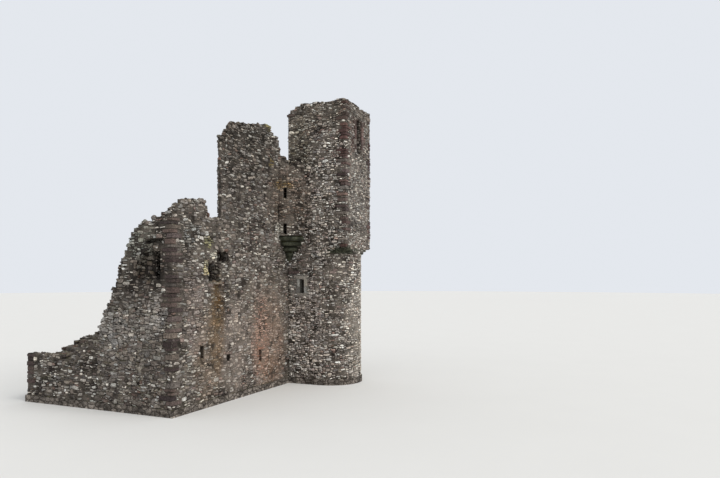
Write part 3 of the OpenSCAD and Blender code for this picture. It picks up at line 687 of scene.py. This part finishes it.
# Sets a stone by itself at a point, its face turned outward. Its depth is how far it lies in and stands out.
def setLooseStone(pile, shape, point, outward, size, depth, roll, tint):
    up = Vector((0.0, 0.0, 1.0))
    if abs(outward.z) > 0.9:
        up = Vector((math.cos(roll), math.sin(roll), 0.0))
        roll = 0.0
    side = up.cross(outward).normalized()
    rise = outward.cross(side)
    turnedSide = side * math.cos(roll) + rise * math.sin(roll)
    turnedRise = rise * math.cos(roll) - side * math.sin(roll)
    a, b, c = shape.points.T
    back, proud = depth
    out = -back + c * (back + proud)
    points = (np.outer(a * size[0], turnedSide) + np.outer(b * size[1], turnedRise)
              + np.outer(out, outward) + np.array(point))
    pile.add(points, shape, tint)
    return points


print("keep: masonry tools ready")

# Long and short stones at the corners. "x" and "y" say which way the walls run from the corner,
# and "lost" is the share of stones that have fallen out, where rubble fills the corner.
quoinStones = {
    "proud": (0.026, 0.060),
    "gap": (0.012, 0.032),
    "least": 0.08,  # metres; a lower course has no such stone
    "probe": 0.15,  # metres inside both faces, from where a ray looks for the wall
    "slack": 0.02,  # metres that the wall may lie from where it should
    "patchy": (2.9, 0.30),  # how fast, in radians a metre, and how far the lost share changes with height
    "main": {"height": (0.11, 0.26), "long": (0.36, 0.66), "short": (0.20, 0.40), "lost": 0.33,
             "palette": "brown", "gain": 0.64},
    "tower": {"height": (0.11, 0.22), "long": (0.30, 0.62), "short": (0.17, 0.30), "lost": 0.36,
              "palette": "red", "gain": 0.88},
    "corners": [
        {"at": (westX, southY), "x": 1, "y": 1, "low": footingTopZ, "high": ledgeZ, "kind": "main"},
        {"at": (westX, northY), "x": 1, "y": -1, "low": footingTopZ, "high": 2.2, "kind": "main"},
        {"at": (eastX, northY), "x": -1, "y": -1, "low": footingTopZ, "high": ledgeZ, "kind": "main"},
        {"at": (towerX, capSouthY), "x": 1, "y": 1, "low": capSeatZ, "high": topZ, "kind": "tower"},
        {"at": (eastX, capSouthY), "x": -1, "y": 1, "low": capSeatZ, "high": topZ, "kind": "tower"},
    ],
}


# True where the corner stands at this height
def standsAt(corner, z):
    inside = quoinStones["probe"]
    probe = Vector((corner["at"][0] + corner["x"] * inside, corner["at"][1] + corner["y"] * inside, z))
    hit, normal, index, distance = walls.cast(probe, Vector((-corner["x"], 0, 0)), 2 * inside)
    return hit is not None and normal.x * corner["x"] < 0 and abs(distance - inside) < quoinStones["slack"]


def setQuoin(draw, pile, corner, kind, legX, legY, low, high):
    proud = draw.uniform(*quoinStones["proud"])
    sizeX, sizeY = legX + proud, legY + proud
    centre = Vector((corner["at"][0] + corner["x"] * (sizeX / 2 - proud),
                     corner["at"][1] + corner["y"] * (sizeY / 2 - proud), (low + high) / 2))
    shape = draw.choice(blockShapes)
    scale = np.array([sizeX, sizeY, high - low - draw.uniform(*quoinStones["gap"])])
    tint = pickTint(draw, kind["palette"], centre, kind["gain"])
    pile.add((shape.points - np.array([0, 0, 0.5])) * scale + np.array(centre), shape, tint)
    blockSize = Vector((sizeX / 2, sizeY / 2, (high - low) / 2))
    addStop(centre - blockSize, centre + blockSize)


def layQuoins(pile):
    draw = random.Random(77)
    patchPace, patchSize = quoinStones["patchy"]
    for corner in quoinStones["corners"]:
        x, y = corner["at"]
        kind = quoinStones[corner["kind"]]
        low = corner["low"] + 0.01
        flip = draw.random() < 0.5
        while low < corner["high"] - 0.1:
            high = min(low + draw.uniform(*kind["height"]), corner["high"])
            legX = draw.uniform(*kind["long" if flip else "short"])
            legY = draw.uniform(*kind["short" if flip else "long"])
            flip = not flip
            lost = kind["lost"] + patchSize * math.sin(patchPace * (low + high) / 2 + x - y)
            tallEnough = high - low > quoinStones["least"]
            if tallEnough and standsAt(corner, high - 0.02) and draw.random() > lost:
                setQuoin(draw, pile, corner, kind, legX, legY, low, high)
            low = high


# Adds a box to the search tree, so that the rubble stops at it
def addStop(low, high):
    points = [Vector((x, y, z)) for x in (low.x, high.x) for y in (low.y, high.y) for z in (low.z, high.z)]
    faces = [(0, 1, 3, 2), (4, 6, 7, 5), (0, 4, 5, 1), (2, 3, 7, 6), (0, 2, 6, 4), (1, 5, 7, 3)]
    walls.add("dressed", points, faces)


dressing = {"gap": 0.012, "back": 0.08, "vary": (0.85, 1.1)}  # metres, and how the proud height varies


# Dressed stones set into a face: left and right u, low and high v
def layDressed(pile, face, blocks, palette, seed, proud):
    draw = random.Random(seed)
    for left, right, low, high in blocks:
        shape = draw.choice(dressedShapes)
        middle = (left + right) / 2
        centre = face.spot(middle, (low + high) / 2)
        tint = pickTint(draw, palette, centre)
        size = (right - left - dressing["gap"], high - low - dressing["gap"])
        depth = (dressing["back"], proud * draw.uniform(*dressing["vary"]))
        points = setLooseStone(pile, shape, centre, face.away(middle, 0.0), size, depth, 0.0, tint)
        addStop(Vector(points.min(0)), Vector(points.max(0)))


# no wall stands over these heights, in metres
wallTops = {"south": 13.5, "west": 9.1, "north": 8.6, "innerWest": 8.0, "innerEast": 10.4}

southFace = FlatFace((westX, southY), (0, -1), towerX - westX, footingTopZ, wallTops["south"])
westFace = FlatFace((westX, northY), (-1, 0), northY - southY, footingTopZ, wallTops["west"])
northFace = FlatFace((eastX, northY), (0, 1), eastX - westX, footingTopZ, wallTops["north"])
eastFace = FlatFace((eastX, capSouthY), (1, 0), northY - capSouthY, footingTopZ, topZ)
towerWestFace = FlatFace((towerX, southY), (-1, 0), southY - capSouthY, footingTopZ, topZ)
capSouthFace = FlatFace((towerX, capSouthY), (0, -1), eastX - towerX, corbelZ, topZ)
capNorthFace = FlatFace((eastX, southY), (0, 1), eastX - towerX, ledgeZ, topZ)
roundFace = RoundFace(towerMid, towerRadius, math.pi, 2 * math.pi, footingTopZ, capSeatZ)
turretFace = RoundFace((towerX, southY), turretRadius, math.pi, 1.5 * math.pi, turretLow[2], turretHigh[2])

pileSlots = {
    "corner_and_window_stones": "dressed_red",
    "stair_window_stones": "dressed_grey",
    "south_wall_rubble": "rubble",
    "west_gable_rubble": "rubble",
    "north_wall_rubble": "rubble",
    "east_gable_rubble": "rubble",
    "stair_tower_rubble": "rubble",
    "caphouse_rubble": "rubble",
    "inner_wall_rubble": "rubble",
    "vault_stones": "vault_rubble",
    "opening_and_end_rubble": "rubble",
    "broken_top_rubble": "rubble",
}
piles = {name: StonePile(name, slot) for name, slot in pileSlots.items()}
dressed = piles["corner_and_window_stones"]
layQuoins(dressed)

# the caphouse window: its left and right side, and how its dark red blocks run
capWindow = {"left": 1.30, "right": 1.95, "height": (0.15, 0.30), "width": (0.14, 0.34)}
windowLowZ, windowHighZ = (corner[2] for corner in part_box("caphouse_window_piers"))


def jambBlocks():
    draw = random.Random(91)
    blocks = []
    for side, edge in ((-1, capWindow["left"]), (1, capWindow["right"])):
        low = windowLowZ
        while low < windowHighZ - 0.1:
            high = min(low + draw.uniform(*capWindow["height"]), windowHighZ)
            reach = edge + side * draw.uniform(*capWindow["width"])
            blocks.append((min(edge, reach), max(edge, reach), low, high))
            low = high
    return blocks


# the stair window: its opening, and the width of its grey jambs and the height of its lintel
windowStones = {"left": 0.69, "right": 0.96, "sill": 4.81, "head": 5.55, "jamb": 0.15, "lintel": 0.17}


def windowBlocks():
    left, right, sill, head, jamb, lintel = windowStones.values()
    split = mixed(sill, head, 0.45)
    return [
        (left - jamb * 1.5, left, sill, split), (left - jamb, left, split, head),
        (right, right + jamb, sill, split), (right, right + jamb * 1.4, split, head),
        (left - jamb * 1.6, right + jamb * 1.1, head, head + lintel),
        (left - jamb * 1.1, right + jamb * 1.3, sill - lintel * 0.9, sill),
    ]


# single blocks, each with its left, right, low and high
blockSpots = {
    "over the stair window": [(0.03, 0.66, 5.83, 5.99)],
    "eaves": [(-0.07, 0.46, 14.23, 14.36), (0.47, 0.86, 14.30, 14.42)],
    "slit lintels": [(1.60, 2.14, 2.75, 2.88), (3.55, 4.05, 2.13, 2.25), (6.12, 6.68, 2.06, 2.19)],
}
layDressed(dressed, capSouthFace, jambBlocks(), "red", seed=7, proud=0.045)
layDressed(piles["stair_window_stones"], towerWestFace, windowBlocks(), "grey", seed=5, proud=0.05)
layDressed(dressed, towerWestFace, blockSpots["over the stair window"], "red", seed=6, proud=0.06)
layDressed(dressed, towerWestFace, blockSpots["eaves"], "brown", seed=9, proud=0.08)
layDressed(dressed, southFace, blockSpots["slit lintels"], "brown", seed=8, proud=0.05)
walls.plant()

# each outer face's pile, way of laying, first random number, and how light its stones are;
# the caphouse and tower gains are partly their paler stone and partly painted light, highest on the shaded
# west face
outerFaces = [
    ("south_wall_rubble", southFace, "rubble", 101, 1.0),
    ("west_gable_rubble", westFace, "gable", 102, 1.05),
    ("north_wall_rubble", northFace, "rubble", 103, 1.0),
    ("east_gable_rubble", eastFace, "rubble", 104, 1.0),
    ("caphouse_rubble", towerWestFace, "fine", 105, 1.84),
    ("caphouse_rubble", capSouthFace, "fine", 106, 1.24),
    ("caphouse_rubble", capNorthFace, "fine", 109, 1.35),
    ("stair_tower_rubble", roundFace, "fine", 107, 1.50),
    ("stair_tower_rubble", turretFace, "fine", 108, 1.2),
]
for name, face, way, seed, gain in outerFaces:
    layRubble(piles[name], face, layings[way], rubbleShapes, seed, gain)
print("keep: outer faces laid")


# The inner face on one side of a room, whose walls are given as west, south, east and north
def innerFace(side, room, low, high):
    west, south, east, north = room
    if side in ("west", "east"):
        start, outward = ((west, south), (1, 0)) if side == "west" else ((east, north), (-1, 0))
        return FlatFace(start, outward, north - south, low, high)
    start, outward = ((west, north), (0, -1)) if side == "north" else ((east, south), (0, 1))
    return FlatFace(start, outward, east - west, low, high)


hall = (innerWestX, innerSouthY, innerEastX, innerNorthY)
upperHall = (westX, innerUpperY, eastX, innerNorthY)
capRoom = (*roomLow[:2], *roomHigh[:2])
innerFaces = [
    innerFace("south", hall, footingTopZ, ledgeZ),
    innerFace("south", upperHall, ledgeZ, wallTops["south"]),
    innerFace("north", hall, footingTopZ, wallTops["north"]),
    innerFace("west", hall, footingTopZ, wallTops["innerWest"]),
    innerFace("east", hall, footingTopZ, wallTops["innerEast"]),
    *(innerFace(side, capRoom, capFloorZ, topZ) for side in ("west", "east", "north", "south")),
]
for number, face in enumerate(innerFaces):
    layRubble(piles["inner_wall_rubble"], face, layings["inner"], smallShapes, 120 + number)

# the vault's curve, from its span, its springing and its crown, which a ray from the floor finds
crownProbe = {"inside": 1.0, "height": 2.9, "reach": 3.0}
vaultMidY = (innerSouthY + innerNorthY) / 2
probe = Vector((innerEastX - crownProbe["inside"], vaultMidY, crownProbe["height"]))
crown = walls.cast(probe, Vector((0, 0, 1)), crownProbe["reach"])[0]
vaultRise = crown.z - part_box("vault_east_bay")[0][2]
halfSpan = (innerNorthY - innerSouthY) / 2
vaultRadius = (halfSpan ** 2 + vaultRise ** 2) / (2 * vaultRise)
vaultReach = vaultRadius * math.asin(halfSpan / vaultRadius)
vaultFace = VaultFace(innerEastX, innerWestX, (vaultMidY, crown.z - vaultRadius), vaultRadius, vaultReach)
layRubble(piles["vault_stones"], vaultFace, layings["vault"], smallShapes, 140)
print("keep: inner faces and vault laid")

coursedFaces = [southFace, westFace, northFace, eastFace, towerWestFace, capSouthFace, capNorthFace]
coursedFaces += innerFaces
near = {"off": 0.02, "past": 0.05, "turned": 0.95}  # metres off a face and past its ends, and a cosine
shaftWalls = (0.3, 0.1)  # thickness taken off at the shaft's outer sides, and to the block


# True where a point lies on one of the faces that already carry rubble
def isCoursed(point, outward):
    if abs(math.hypot(point.y - vaultMidY, point.z - crown.z + vaultRadius) - vaultRadius) < 0.05:
        return abs(outward.x) < 0.3
    for face in coursedFaces:
        if face.outward.dot(outward) > near["turned"] and face.low - near["past"] < point.z < face.high:
            away = point - face.spot(0.0, 0.0)
            within = -near["past"] < away.dot(face.along) < face.span + near["past"]
            if abs(away.dot(face.outward)) < near["off"] and within:
                return True
    return False


# True in the stair's shaft, which nothing shows but the doors at its foot
def isInShaft(point):
    outer, inner = shaftWalls
    inX = towerX + outer < point.x < eastX - outer
    return inX and capSouthY + outer < point.y < southY - inner and point.z < capFloorZ


roundNodes = ("stair_round", "angle", "corner")  # how the names of the round solids start
ends = {
    "upright": 0.05,  # greatest slant of an upright face
    "leastArea": 0.004,
    "lookAt": 0.6,  # how far towards a face's corners it is tested for free air
    "sameWay": 0.999,  # cosine between faces that make one plane
    "samePlane": 0.012,
    "leastSpan": 0.12,
}


# True on an upright face of a solid that stands free and carries no rubble yet
def isBare(mesh, polygon):
    normal, middle = polygon.normal, polygon.center
    if abs(normal.z) > ends["upright"] or polygon.area < ends["leastArea"]:
        return False
    if isCoursed(middle, normal) or isInShaft(middle):
        return False
    spots = [mesh.vertices[i].co for i in polygon.vertices]
    return any(isOpen(middle.lerp(spot, ends["lookAt"]), normal) for spot in spots)


# The planes of the bare upright faces, with the corners that lie on each
def barePlanes():
    planes = []
    for name, solid in frame["nodes"].items():
        mesh = solid.data
        for polygon in mesh.polygons:
            if name.startswith(roundNodes) or not isBare(mesh, polygon):
                continue
            normal = polygon.normal
            spots = [mesh.vertices[i].co for i in polygon.vertices]
            depth = normal.dot(polygon.center)
            for plane in planes:
                sameWay = plane["normal"].dot(normal) > ends["sameWay"]
                if sameWay and abs(plane["depth"] - depth) < ends["samePlane"]:
                    plane["spots"] += spots
                    break
            else:
                planes.append({"normal": normal.copy(), "depth": depth, "spots": spots})
    return planes


# The other upright faces of the solids: broken ends, recesses, and the sides of openings
def otherFaces():
    faces = []
    for plane in barePlanes():
        normal = plane["normal"]
        along = Vector((-normal.y, normal.x, 0.0))
        shares = [spot.dot(along) for spot in plane["spots"]]
        heights = [spot.z for spot in plane["spots"]]
        span = max(shares) - min(shares)
        if span > ends["leastSpan"] and max(heights) > clearZ:
            start = normal * plane["depth"] + along * min(shares)
            faces.append(FlatFace(start, normal, span, max(min(heights), footingTopZ), max(heights)))
    return faces


for number, face in enumerate(otherFaces()):
    layRubble(piles["opening_and_end_rubble"], face, layings["broken"], smallShapes, 200 + number)
print("keep: broken ends and reveals laid")

brokenStones = {
    "grid": 0.23,  # metres between stones on broken tops
    "jitter": (0.1, 0.9),  # where in its square such a stone may lie
    "above": 0.5,  # metres over the building, from where rays look down for the tops
    "step": 0.01,  # metres below a top, from where a ray looks on
    "width": (0.20, 0.36),
    "depth": (0.14, 0.26),
    "proud": (0.02, 0.08),
    "back": 0.09,  # how deep such a stone's back lies in the wall
    "clear": 0.5,  # metres of free air over it
    "upward": 0.35,  # a face that slants less than this is a top
    "spread": 0.016,  # square metres for each stone on a slanting face
    "slantProud": (0.010, 0.045),
    "slantRoll": (-0.3, 0.3),
    "hair": 0.004,
}


def pickBroken(draw):
    size = (draw.uniform(*brokenStones["width"]), draw.uniform(*brokenStones["depth"]))
    return size, draw.choice(brokenShapes)


# Rough stones on the broken tops of the walls
def coverBrokenTops():
    draw = random.Random(300)
    grid = brokenStones["grid"]
    low, high = cadBounds
    down = Vector((0, 0, -1))
    for i in range(int((high[0] - low[0]) / grid)):
        for j in range(int((high[1] - low[1]) / grid)):
            x = low[0] + (i + draw.uniform(*brokenStones["jitter"])) * grid
            y = low[1] + (j + draw.uniform(*brokenStones["jitter"])) * grid
            start = Vector((x, y, high[2] + brokenStones["above"]))
            while True:
                hit, normal, index, distance = walls.cast(start, down, farReach)
                if hit is None:
                    break
                start = hit + down * brokenStones["step"]
                if normal.z > brokenStones["upward"] and walls.owners[index] not in bareNodes:
                    setBrokenStone(draw, hit, normal)


def setBrokenStone(draw, hit, normal):
    inTower = towerX < hit.x < eastX and hit.y < southY
    if hit.z < clearZ or (inTower and hit.z < roomHigh[2] - 0.02):
        return
    proud = min(draw.uniform(*brokenStones["proud"]), topZ - hit.z - brokenStones["hair"])
    if proud < brokenStones["hair"] or not isOpen(hit, normal, brokenStones["clear"]):
        return
    size, shape = pickBroken(draw)
    tint = pickTint(draw, "dark", hit)
    depth = (brokenStones["back"], proud)
    roll = draw.uniform(0.0, math.pi)
    setLooseStone(piles["broken_top_rubble"], shape, hit, normal, size, depth, roll, tint)


# Rough stones on faces that slant or face down, so that no broken edge is smooth
def coverSlants():
    draw = random.Random(310)
    for name, solid in frame["nodes"].items():
        mesh = solid.data
        mesh.calc_loop_triangles()
        for triangle in mesh.loop_triangles:
            normal = triangle.normal
            slanting = abs(normal.z) >= ends["upright"] and normal.z <= brokenStones["upward"]
            if slanting and not name.startswith(roundNodes):
                corners = [mesh.vertices[i].co for i in triangle.vertices]
                for attempt in range(int(triangle.area / brokenStones["spread"] + draw.random())):
                    setSlantStone(draw, corners, normal)


def setSlantStone(draw, corners, normal):
    along, across = sorted((draw.random(), draw.random()))
    spot = corners[0] * along + corners[1] * (across - along) + corners[2] * (1.0 - across)
    if spot.z < clearZ or isInShaft(spot) or isCoursed(spot, normal) or not isOpen(spot, normal):
        return
    size, shape = pickBroken(draw)
    depth = (brokenStones["back"], draw.uniform(*brokenStones["slantProud"]))
    roll = draw.uniform(*brokenStones["slantRoll"])
    tint = pickTint(draw, "dark", spot)
    setLooseStone(piles["opening_and_end_rubble"], shape, spot, normal, size, depth, roll, tint)


coverBrokenTops()
coverSlants()
print("keep: broken tops covered")


# Shader maths: a wrapped socket that can stand in sums and products
class Wire:
    def __init__(self, tree, socket):
        self.tree, self.socket = tree, socket

    def join(self, operation, other):
        node = self.tree.nodes.new("ShaderNodeMath")
        node.operation = operation
        self.tree.links.new(self.socket, node.inputs[0])
        if isinstance(other, Wire):
            self.tree.links.new(other.socket, node.inputs[1])
        else:
            node.inputs[1].default_value = other
        return Wire(self.tree, node.outputs[0])

    def __add__(self, other):
        return self.join("ADD", other)

    def __mul__(self, other):
        return self.join("MULTIPLY", other)

    __radd__ = __add__
    __rmul__ = __mul__


class Finish:
    def __init__(self, name, roughness):
        self.material = bpy.data.materials.new(name)
        self.material.use_nodes = True
        self.tree = self.material.node_tree
        self.tree.nodes.clear()
        self.shader = self.tree.nodes.new("ShaderNodeBsdfPrincipled")
        self.shader.inputs["Roughness"].default_value = roughness
        self.shader.inputs["Specular IOR Level"].default_value = 0.25
        output = self.tree.nodes.new("ShaderNodeOutputMaterial")
        self.tree.links.new(self.shader.outputs[0], output.inputs["Surface"])
        self.place = self.node("ShaderNodeTexCoord", {}, {}, "Object")

    # any other node: its type, its settings, the values or links of its sockets, and the output wanted
    def node(self, kind, settings, sockets, output=0):
        node = self.tree.nodes.new(kind)
        for key, value in settings.items():
            setattr(node, key, value)
        for key, value in sockets.items():
            if isinstance(value, Wire):
                self.tree.links.new(value.socket, node.inputs[key])
            else:
                node.inputs[key].default_value = value
        return Wire(self.tree, node.outputs[output])

    def noise(self, scale, detail=4.0, roughness=0.55):
        sockets = {"Vector": self.place, "Scale": scale, "Detail": detail, "Roughness": roughness}
        return self.node("ShaderNodeTexNoise", {}, sockets, "Fac")

    # the start value below the low one, the end value above the high one, smooth between
    def ramp(self, value, low, high, start=0.0, end=1.0):
        return self.node("ShaderNodeMapRange", {"interpolation_type": "SMOOTHSTEP"},
                         {"Value": value, "From Min": low, "From Max": high, "To Min": start, "To Max": end})

    def mix(self, share, first, second, blend="MIX"):
        node = self.tree.nodes.new("ShaderNodeMix")
        node.data_type = "RGBA"
        node.blend_type = blend
        for index, value in ((0, share), (6, first), (7, second)):  # the factor and the two colours
            if isinstance(value, Wire):
                self.tree.links.new(value.socket, node.inputs[index])
            else:
                node.inputs[index].default_value = value if index == 0 else (*value[:3], 1.0)
        return Wire(self.tree, node.outputs[2])

    # a colour made lighter or darker
    def shaded(self, colour, light):
        grey = self.node("ShaderNodeCombineColor", {}, {0: light, 1: light, 2: light})
        return self.mix(1.0, colour, grey, "MULTIPLY")

    # how strongly a stain colours this spot
    def stain(self, zone):
        gap = self.node("ShaderNodeVectorMath", {"operation": "SUBTRACT"}, {0: self.place, 1: zone["middle"]})
        share = self.node("ShaderNodeVectorMath", {"operation": "DIVIDE"}, {0: gap, 1: zone["reach"]})
        away = self.node("ShaderNodeVectorMath", {"operation": "LENGTH"}, {0: share}, "Value")
        return self.ramp(away, *stainFade, zone["share"], 0.0)

    def feed(self, socket, value):
        self.tree.links.new(value.socket, self.shader.inputs[socket])

    def bump(self, height, distance):
        sockets = {"Height": height, "Strength": 0.8, "Distance": distance}
        self.feed("Normal", self.node("ShaderNodeBump", {}, sockets))


# Each noise by its scale, detail and roughness, and each ramp by where it starts and ends and, where it has
# them, the values there
weathering = {
    "mottle": (9.0, 6.0, 0.62),
    "mottleLight": (0.28, 0.72, 0.74, 1.26),
    "grain": (23.0, 4.0, 0.65),
    "grainLight": (0.34, 0.66, 0.50, 1.52),
    "roughness": (0.3, 0.7, 0.95, 0.82),
    "bump": 0.035,  # metres
    "bumpShares": (0.6, 0.4),  # of the mottling and the grain
    "lichen": (3.1, 5.0, 0.7),
    "lichenRamp": (0.60, 0.70),
    "lichenGrain": (0.35, 0.6),
    "lichenShare": 0.34,
    "lichenColour": linear(176, 174, 158),
    "moss": (2.3, 4.0),
    "mossRamp": (0.42, 0.62),
    "mossFacing": (0.35, 0.85),  # how far up a surface looks
    "mossColour": linear(92, 90, 52),
}


# Mottling, grain, lichen, and moss on what looks up
def weathered(finish, colour, mossShare, relief=0.0):
    look = weathering
    mottle = finish.noise(*look["mottle"])
    grain = finish.noise(*look["grain"])
    light = finish.ramp(mottle, *look["mottleLight"]) * finish.ramp(grain, *look["grainLight"])
    colour = finish.shaded(colour, light)
    lichen = finish.ramp(finish.noise(*look["lichen"]), *look["lichenRamp"])
    lichen = lichen * finish.ramp(grain, *look["lichenGrain"]) * look["lichenShare"]
    colour = finish.mix(lichen, colour, look["lichenColour"])
    normal = finish.node("ShaderNodeNewGeometry", {}, {}, "Normal")
    facing = finish.node("ShaderNodeSeparateXYZ", {}, {0: normal}, "Z")
    moss = finish.ramp(finish.noise(*look["moss"]), *look["mossRamp"])
    moss = moss * finish.ramp(facing, *look["mossFacing"])
    finish.feed("Base Color", finish.mix(moss * mossShare, colour, look["mossColour"]))
    finish.feed("Roughness", finish.ramp(mottle, *look["roughness"]))
    coarse, fine = look["bumpShares"]
    finish.bump(mottle * coarse + grain * fine + relief, look["bump"])


def stoneFinish(name, mossShare):
    finish = Finish(name, 0.9)
    tint = finish.node("ShaderNodeAttribute", {"attribute_name": "tint"}, {}, "Color")
    weathered(finish, tint, mossShare)
    return finish.material


mortarLook = {
    "patch": (1.3, 5.0, 0.6),
    "patchRamp": (0.35, 0.68),
    "grain": (18.0, 5.0, 0.65),
    "grainLight": (0.25, 0.75, 0.7, 1.25),
    "washed": (2.7, 6.0, 0.7),  # the patches of mortar that a stain washes flush
    "washedRamp": (0.38, 0.58),
    "washedLight": 0.72,
    "deepJointShadeColour": linear(34, 30, 27),
    "bump": 0.04,  # metres
}


# The walls' core behind the stones: old lime mortar and packing. Its dark end is partly painted joint shade,
# and it is painted near-black as shade where the joints lie deep.
def mortarFinish(name, dark, pale):
    finish = Finish(name, 0.95)
    look = mortarLook
    colour = finish.mix(finish.ramp(finish.noise(*look["patch"]), *look["patchRamp"]), dark, pale)
    grain = finish.noise(*look["grain"])
    washed = finish.ramp(finish.noise(*look["washed"]), *look["washedRamp"])
    for zone in stains.values():
        if zone["flush"]:
            filled = tuple(c * look["washedLight"] for c in zone["colour"])
            colour = finish.mix(finish.stain(zone) * washed, colour, filled)
        # where the joints lie deep, the mortar is painted near-black as their shade
        if zone["deep"]:
            deep = finish.stain(zone) * (zone["deep"] / zone["share"])
            colour = finish.mix(deep, colour, look["deepJointShadeColour"])
    finish.feed("Base Color", finish.shaded(colour, finish.ramp(grain, *look["grainLight"])))
    finish.bump(grain, look["bump"])
    return finish.material


dressedLook = {
    "patch": (2.6, 5.0, 0.6),
    "patchRamp": (0.35, 0.7),
    "bend": {"Scale": 6.0, "Detail": 3.0},  # the noise that bends the boulders' edges
    "bendSize": (0.12, 0.12, 0.12),  # metres
    "squat": (1.0, 1.0, 1.4),
    "uneven": 0.85,
    "light": (0.0, 1.0, 0.55, 1.35),
    "joint": (0.0, 0.10),
    "jointColour": linear(52, 46, 40),
    "relief": (0.0, 0.26, 0.0, 2.6),
}


# Stone of a solid that no rubble covers. Boulders, if any, are split by dark joints at the length given.
def dressedFinish(name, first, second, moss, boulder=0.0):
    finish = Finish(name, 0.88)
    look = dressedLook
    colour = finish.mix(finish.ramp(finish.noise(*look["patch"]), *look["patchRamp"]), first, second)
    relief = 0.0
    if boulder:
        bend = finish.node("ShaderNodeTexNoise", {}, {"Vector": finish.place, **look["bend"]}, "Color")
        bent = finish.node("ShaderNodeVectorMath", {"operation": "MULTIPLY_ADD"},
                           {0: bend, 1: look["bendSize"], 2: finish.place})
        squat = finish.node("ShaderNodeMapping", {}, {"Vector": bent, "Scale": look["squat"]})
        sockets = {"Vector": squat, "Scale": 1.0 / boulder, "Randomness": look["uneven"]}
        edge = finish.node("ShaderNodeTexVoronoi", {"feature": "DISTANCE_TO_EDGE"}, sockets, "Distance")
        cell = finish.node("ShaderNodeTexVoronoi", {"feature": "F1"}, sockets, "Color")
        light = finish.node("ShaderNodeSeparateColor", {}, {0: cell}, 0)
        colour = finish.shaded(colour, finish.ramp(light, *look["light"]))
        colour = finish.mix(finish.ramp(edge, *look["joint"]), look["jointColour"], colour)
        relief = finish.ramp(edge, *look["relief"])
    weathered(finish, colour, moss, relief)
    return finish.material


rubbleFinish = stoneFinish("rubble stone", 0.5)
dressedStoneFinish = stoneFinish("dressed sandstone", 0.25)
coreFinishes = {
    # mortar whose dark end partly paints the shade in the joints
    "rubble": mortarFinish("mortar with painted joint shade", linear(48, 43, 38), linear(112, 104, 95)),
    "footing_rubble": dressedFinish("footing boulders", linear(92, 85, 78), linear(138, 129, 120), 0.5, 0.30),
    "vault_rubble": mortarFinish("vault mortar", linear(74, 68, 60), linear(110, 100, 88)),
    "dressed_grey": dressedFinish("grey sandstone", linear(104, 102, 96), linear(124, 120, 112), 0.3),
    "dressed_red": dressedFinish("red sandstone", linear(60, 47, 43), linear(86, 68, 62), 0.3),
    # damp green stone, darkened further as painted shade under the corbels
    "corbel_stone": dressedFinish("damp corbel stone with painted shade", linear(46, 47, 38), linear(74, 75, 62), 0.6),
}
slotOf = {part["node"]: part["material_slot"] for part in frame["record"]["subparts"]}
slotOf["angle_turret"] = "rubble"  # rubble covers it, so mortar shows in its joints
for name, solid in frame["nodes"].items():
    solid.data.materials.clear()
    solid.data.materials.append(coreFinishes[slotOf[name]])

for pile in piles.values():
    pile.join(dressedStoneFinish if pile.slot.startswith("dressed") else rubbleFinish)
print("keep: triangles in the stones", sum(pile.triangles for pile in piles.values()))

studio = {
    "floor": linear(214, 212, 207),
    "floorRadius": 220.0,  # metres
    "floorNoise": (0.35, 3.0),
    "floorShade": 0.97,
    "sky": linear(222, 226, 232),
    "skyStrength": 1.05,
    "sunStrength": 1.92,
    "sunColour": (1.0, 0.985, 0.96),
    "sunFrom": (-0.15, -1.0, 1.05),  # where the softened sun stands
    "sunSize": 40.0,  # degrees across, so that the shadows stay soft
}


def makeFloor():
    mesh = bpy.data.meshes.new("floor")
    bm = bmesh.new()
    bmesh.ops.create_circle(bm, cap_ends=True, radius=studio["floorRadius"], segments=64)
    bm.to_mesh(mesh)
    bm.free()
    floor = bpy.data.objects.new("floor", mesh)
    scene.collection.objects.link(floor)
    finish = Finish("pale floor", 0.9)
    shade = tuple(c * studio["floorShade"] for c in studio["floor"])
    finish.feed("Base Color", finish.mix(finish.noise(*studio["floorNoise"]), studio["floor"], shade))
    mesh.materials.append(finish.material)


def makeLight():
    sun = bpy.data.lights.new("sun", "SUN")
    sun.energy = studio["sunStrength"]
    sun.angle = math.radians(studio["sunSize"])
    sun.color = studio["sunColour"]
    sunHolder = bpy.data.objects.new("sun", sun)
    scene.collection.objects.link(sunHolder)
    sunHolder.rotation_euler = (-Vector(studio["sunFrom"])).to_track_quat("-Z", "Y").to_euler()

    world = bpy.data.worlds.new("studio")
    world.use_nodes = True
    background = world.node_tree.nodes["Background"]
    background.inputs["Color"].default_value = (*studio["sky"], 1.0)
    background.inputs["Strength"].default_value = studio["skyStrength"]
    scene.world = world
    scene.view_settings.view_transform = "Standard"


makeFloor()
makeLight()
print("keep: studio lit")
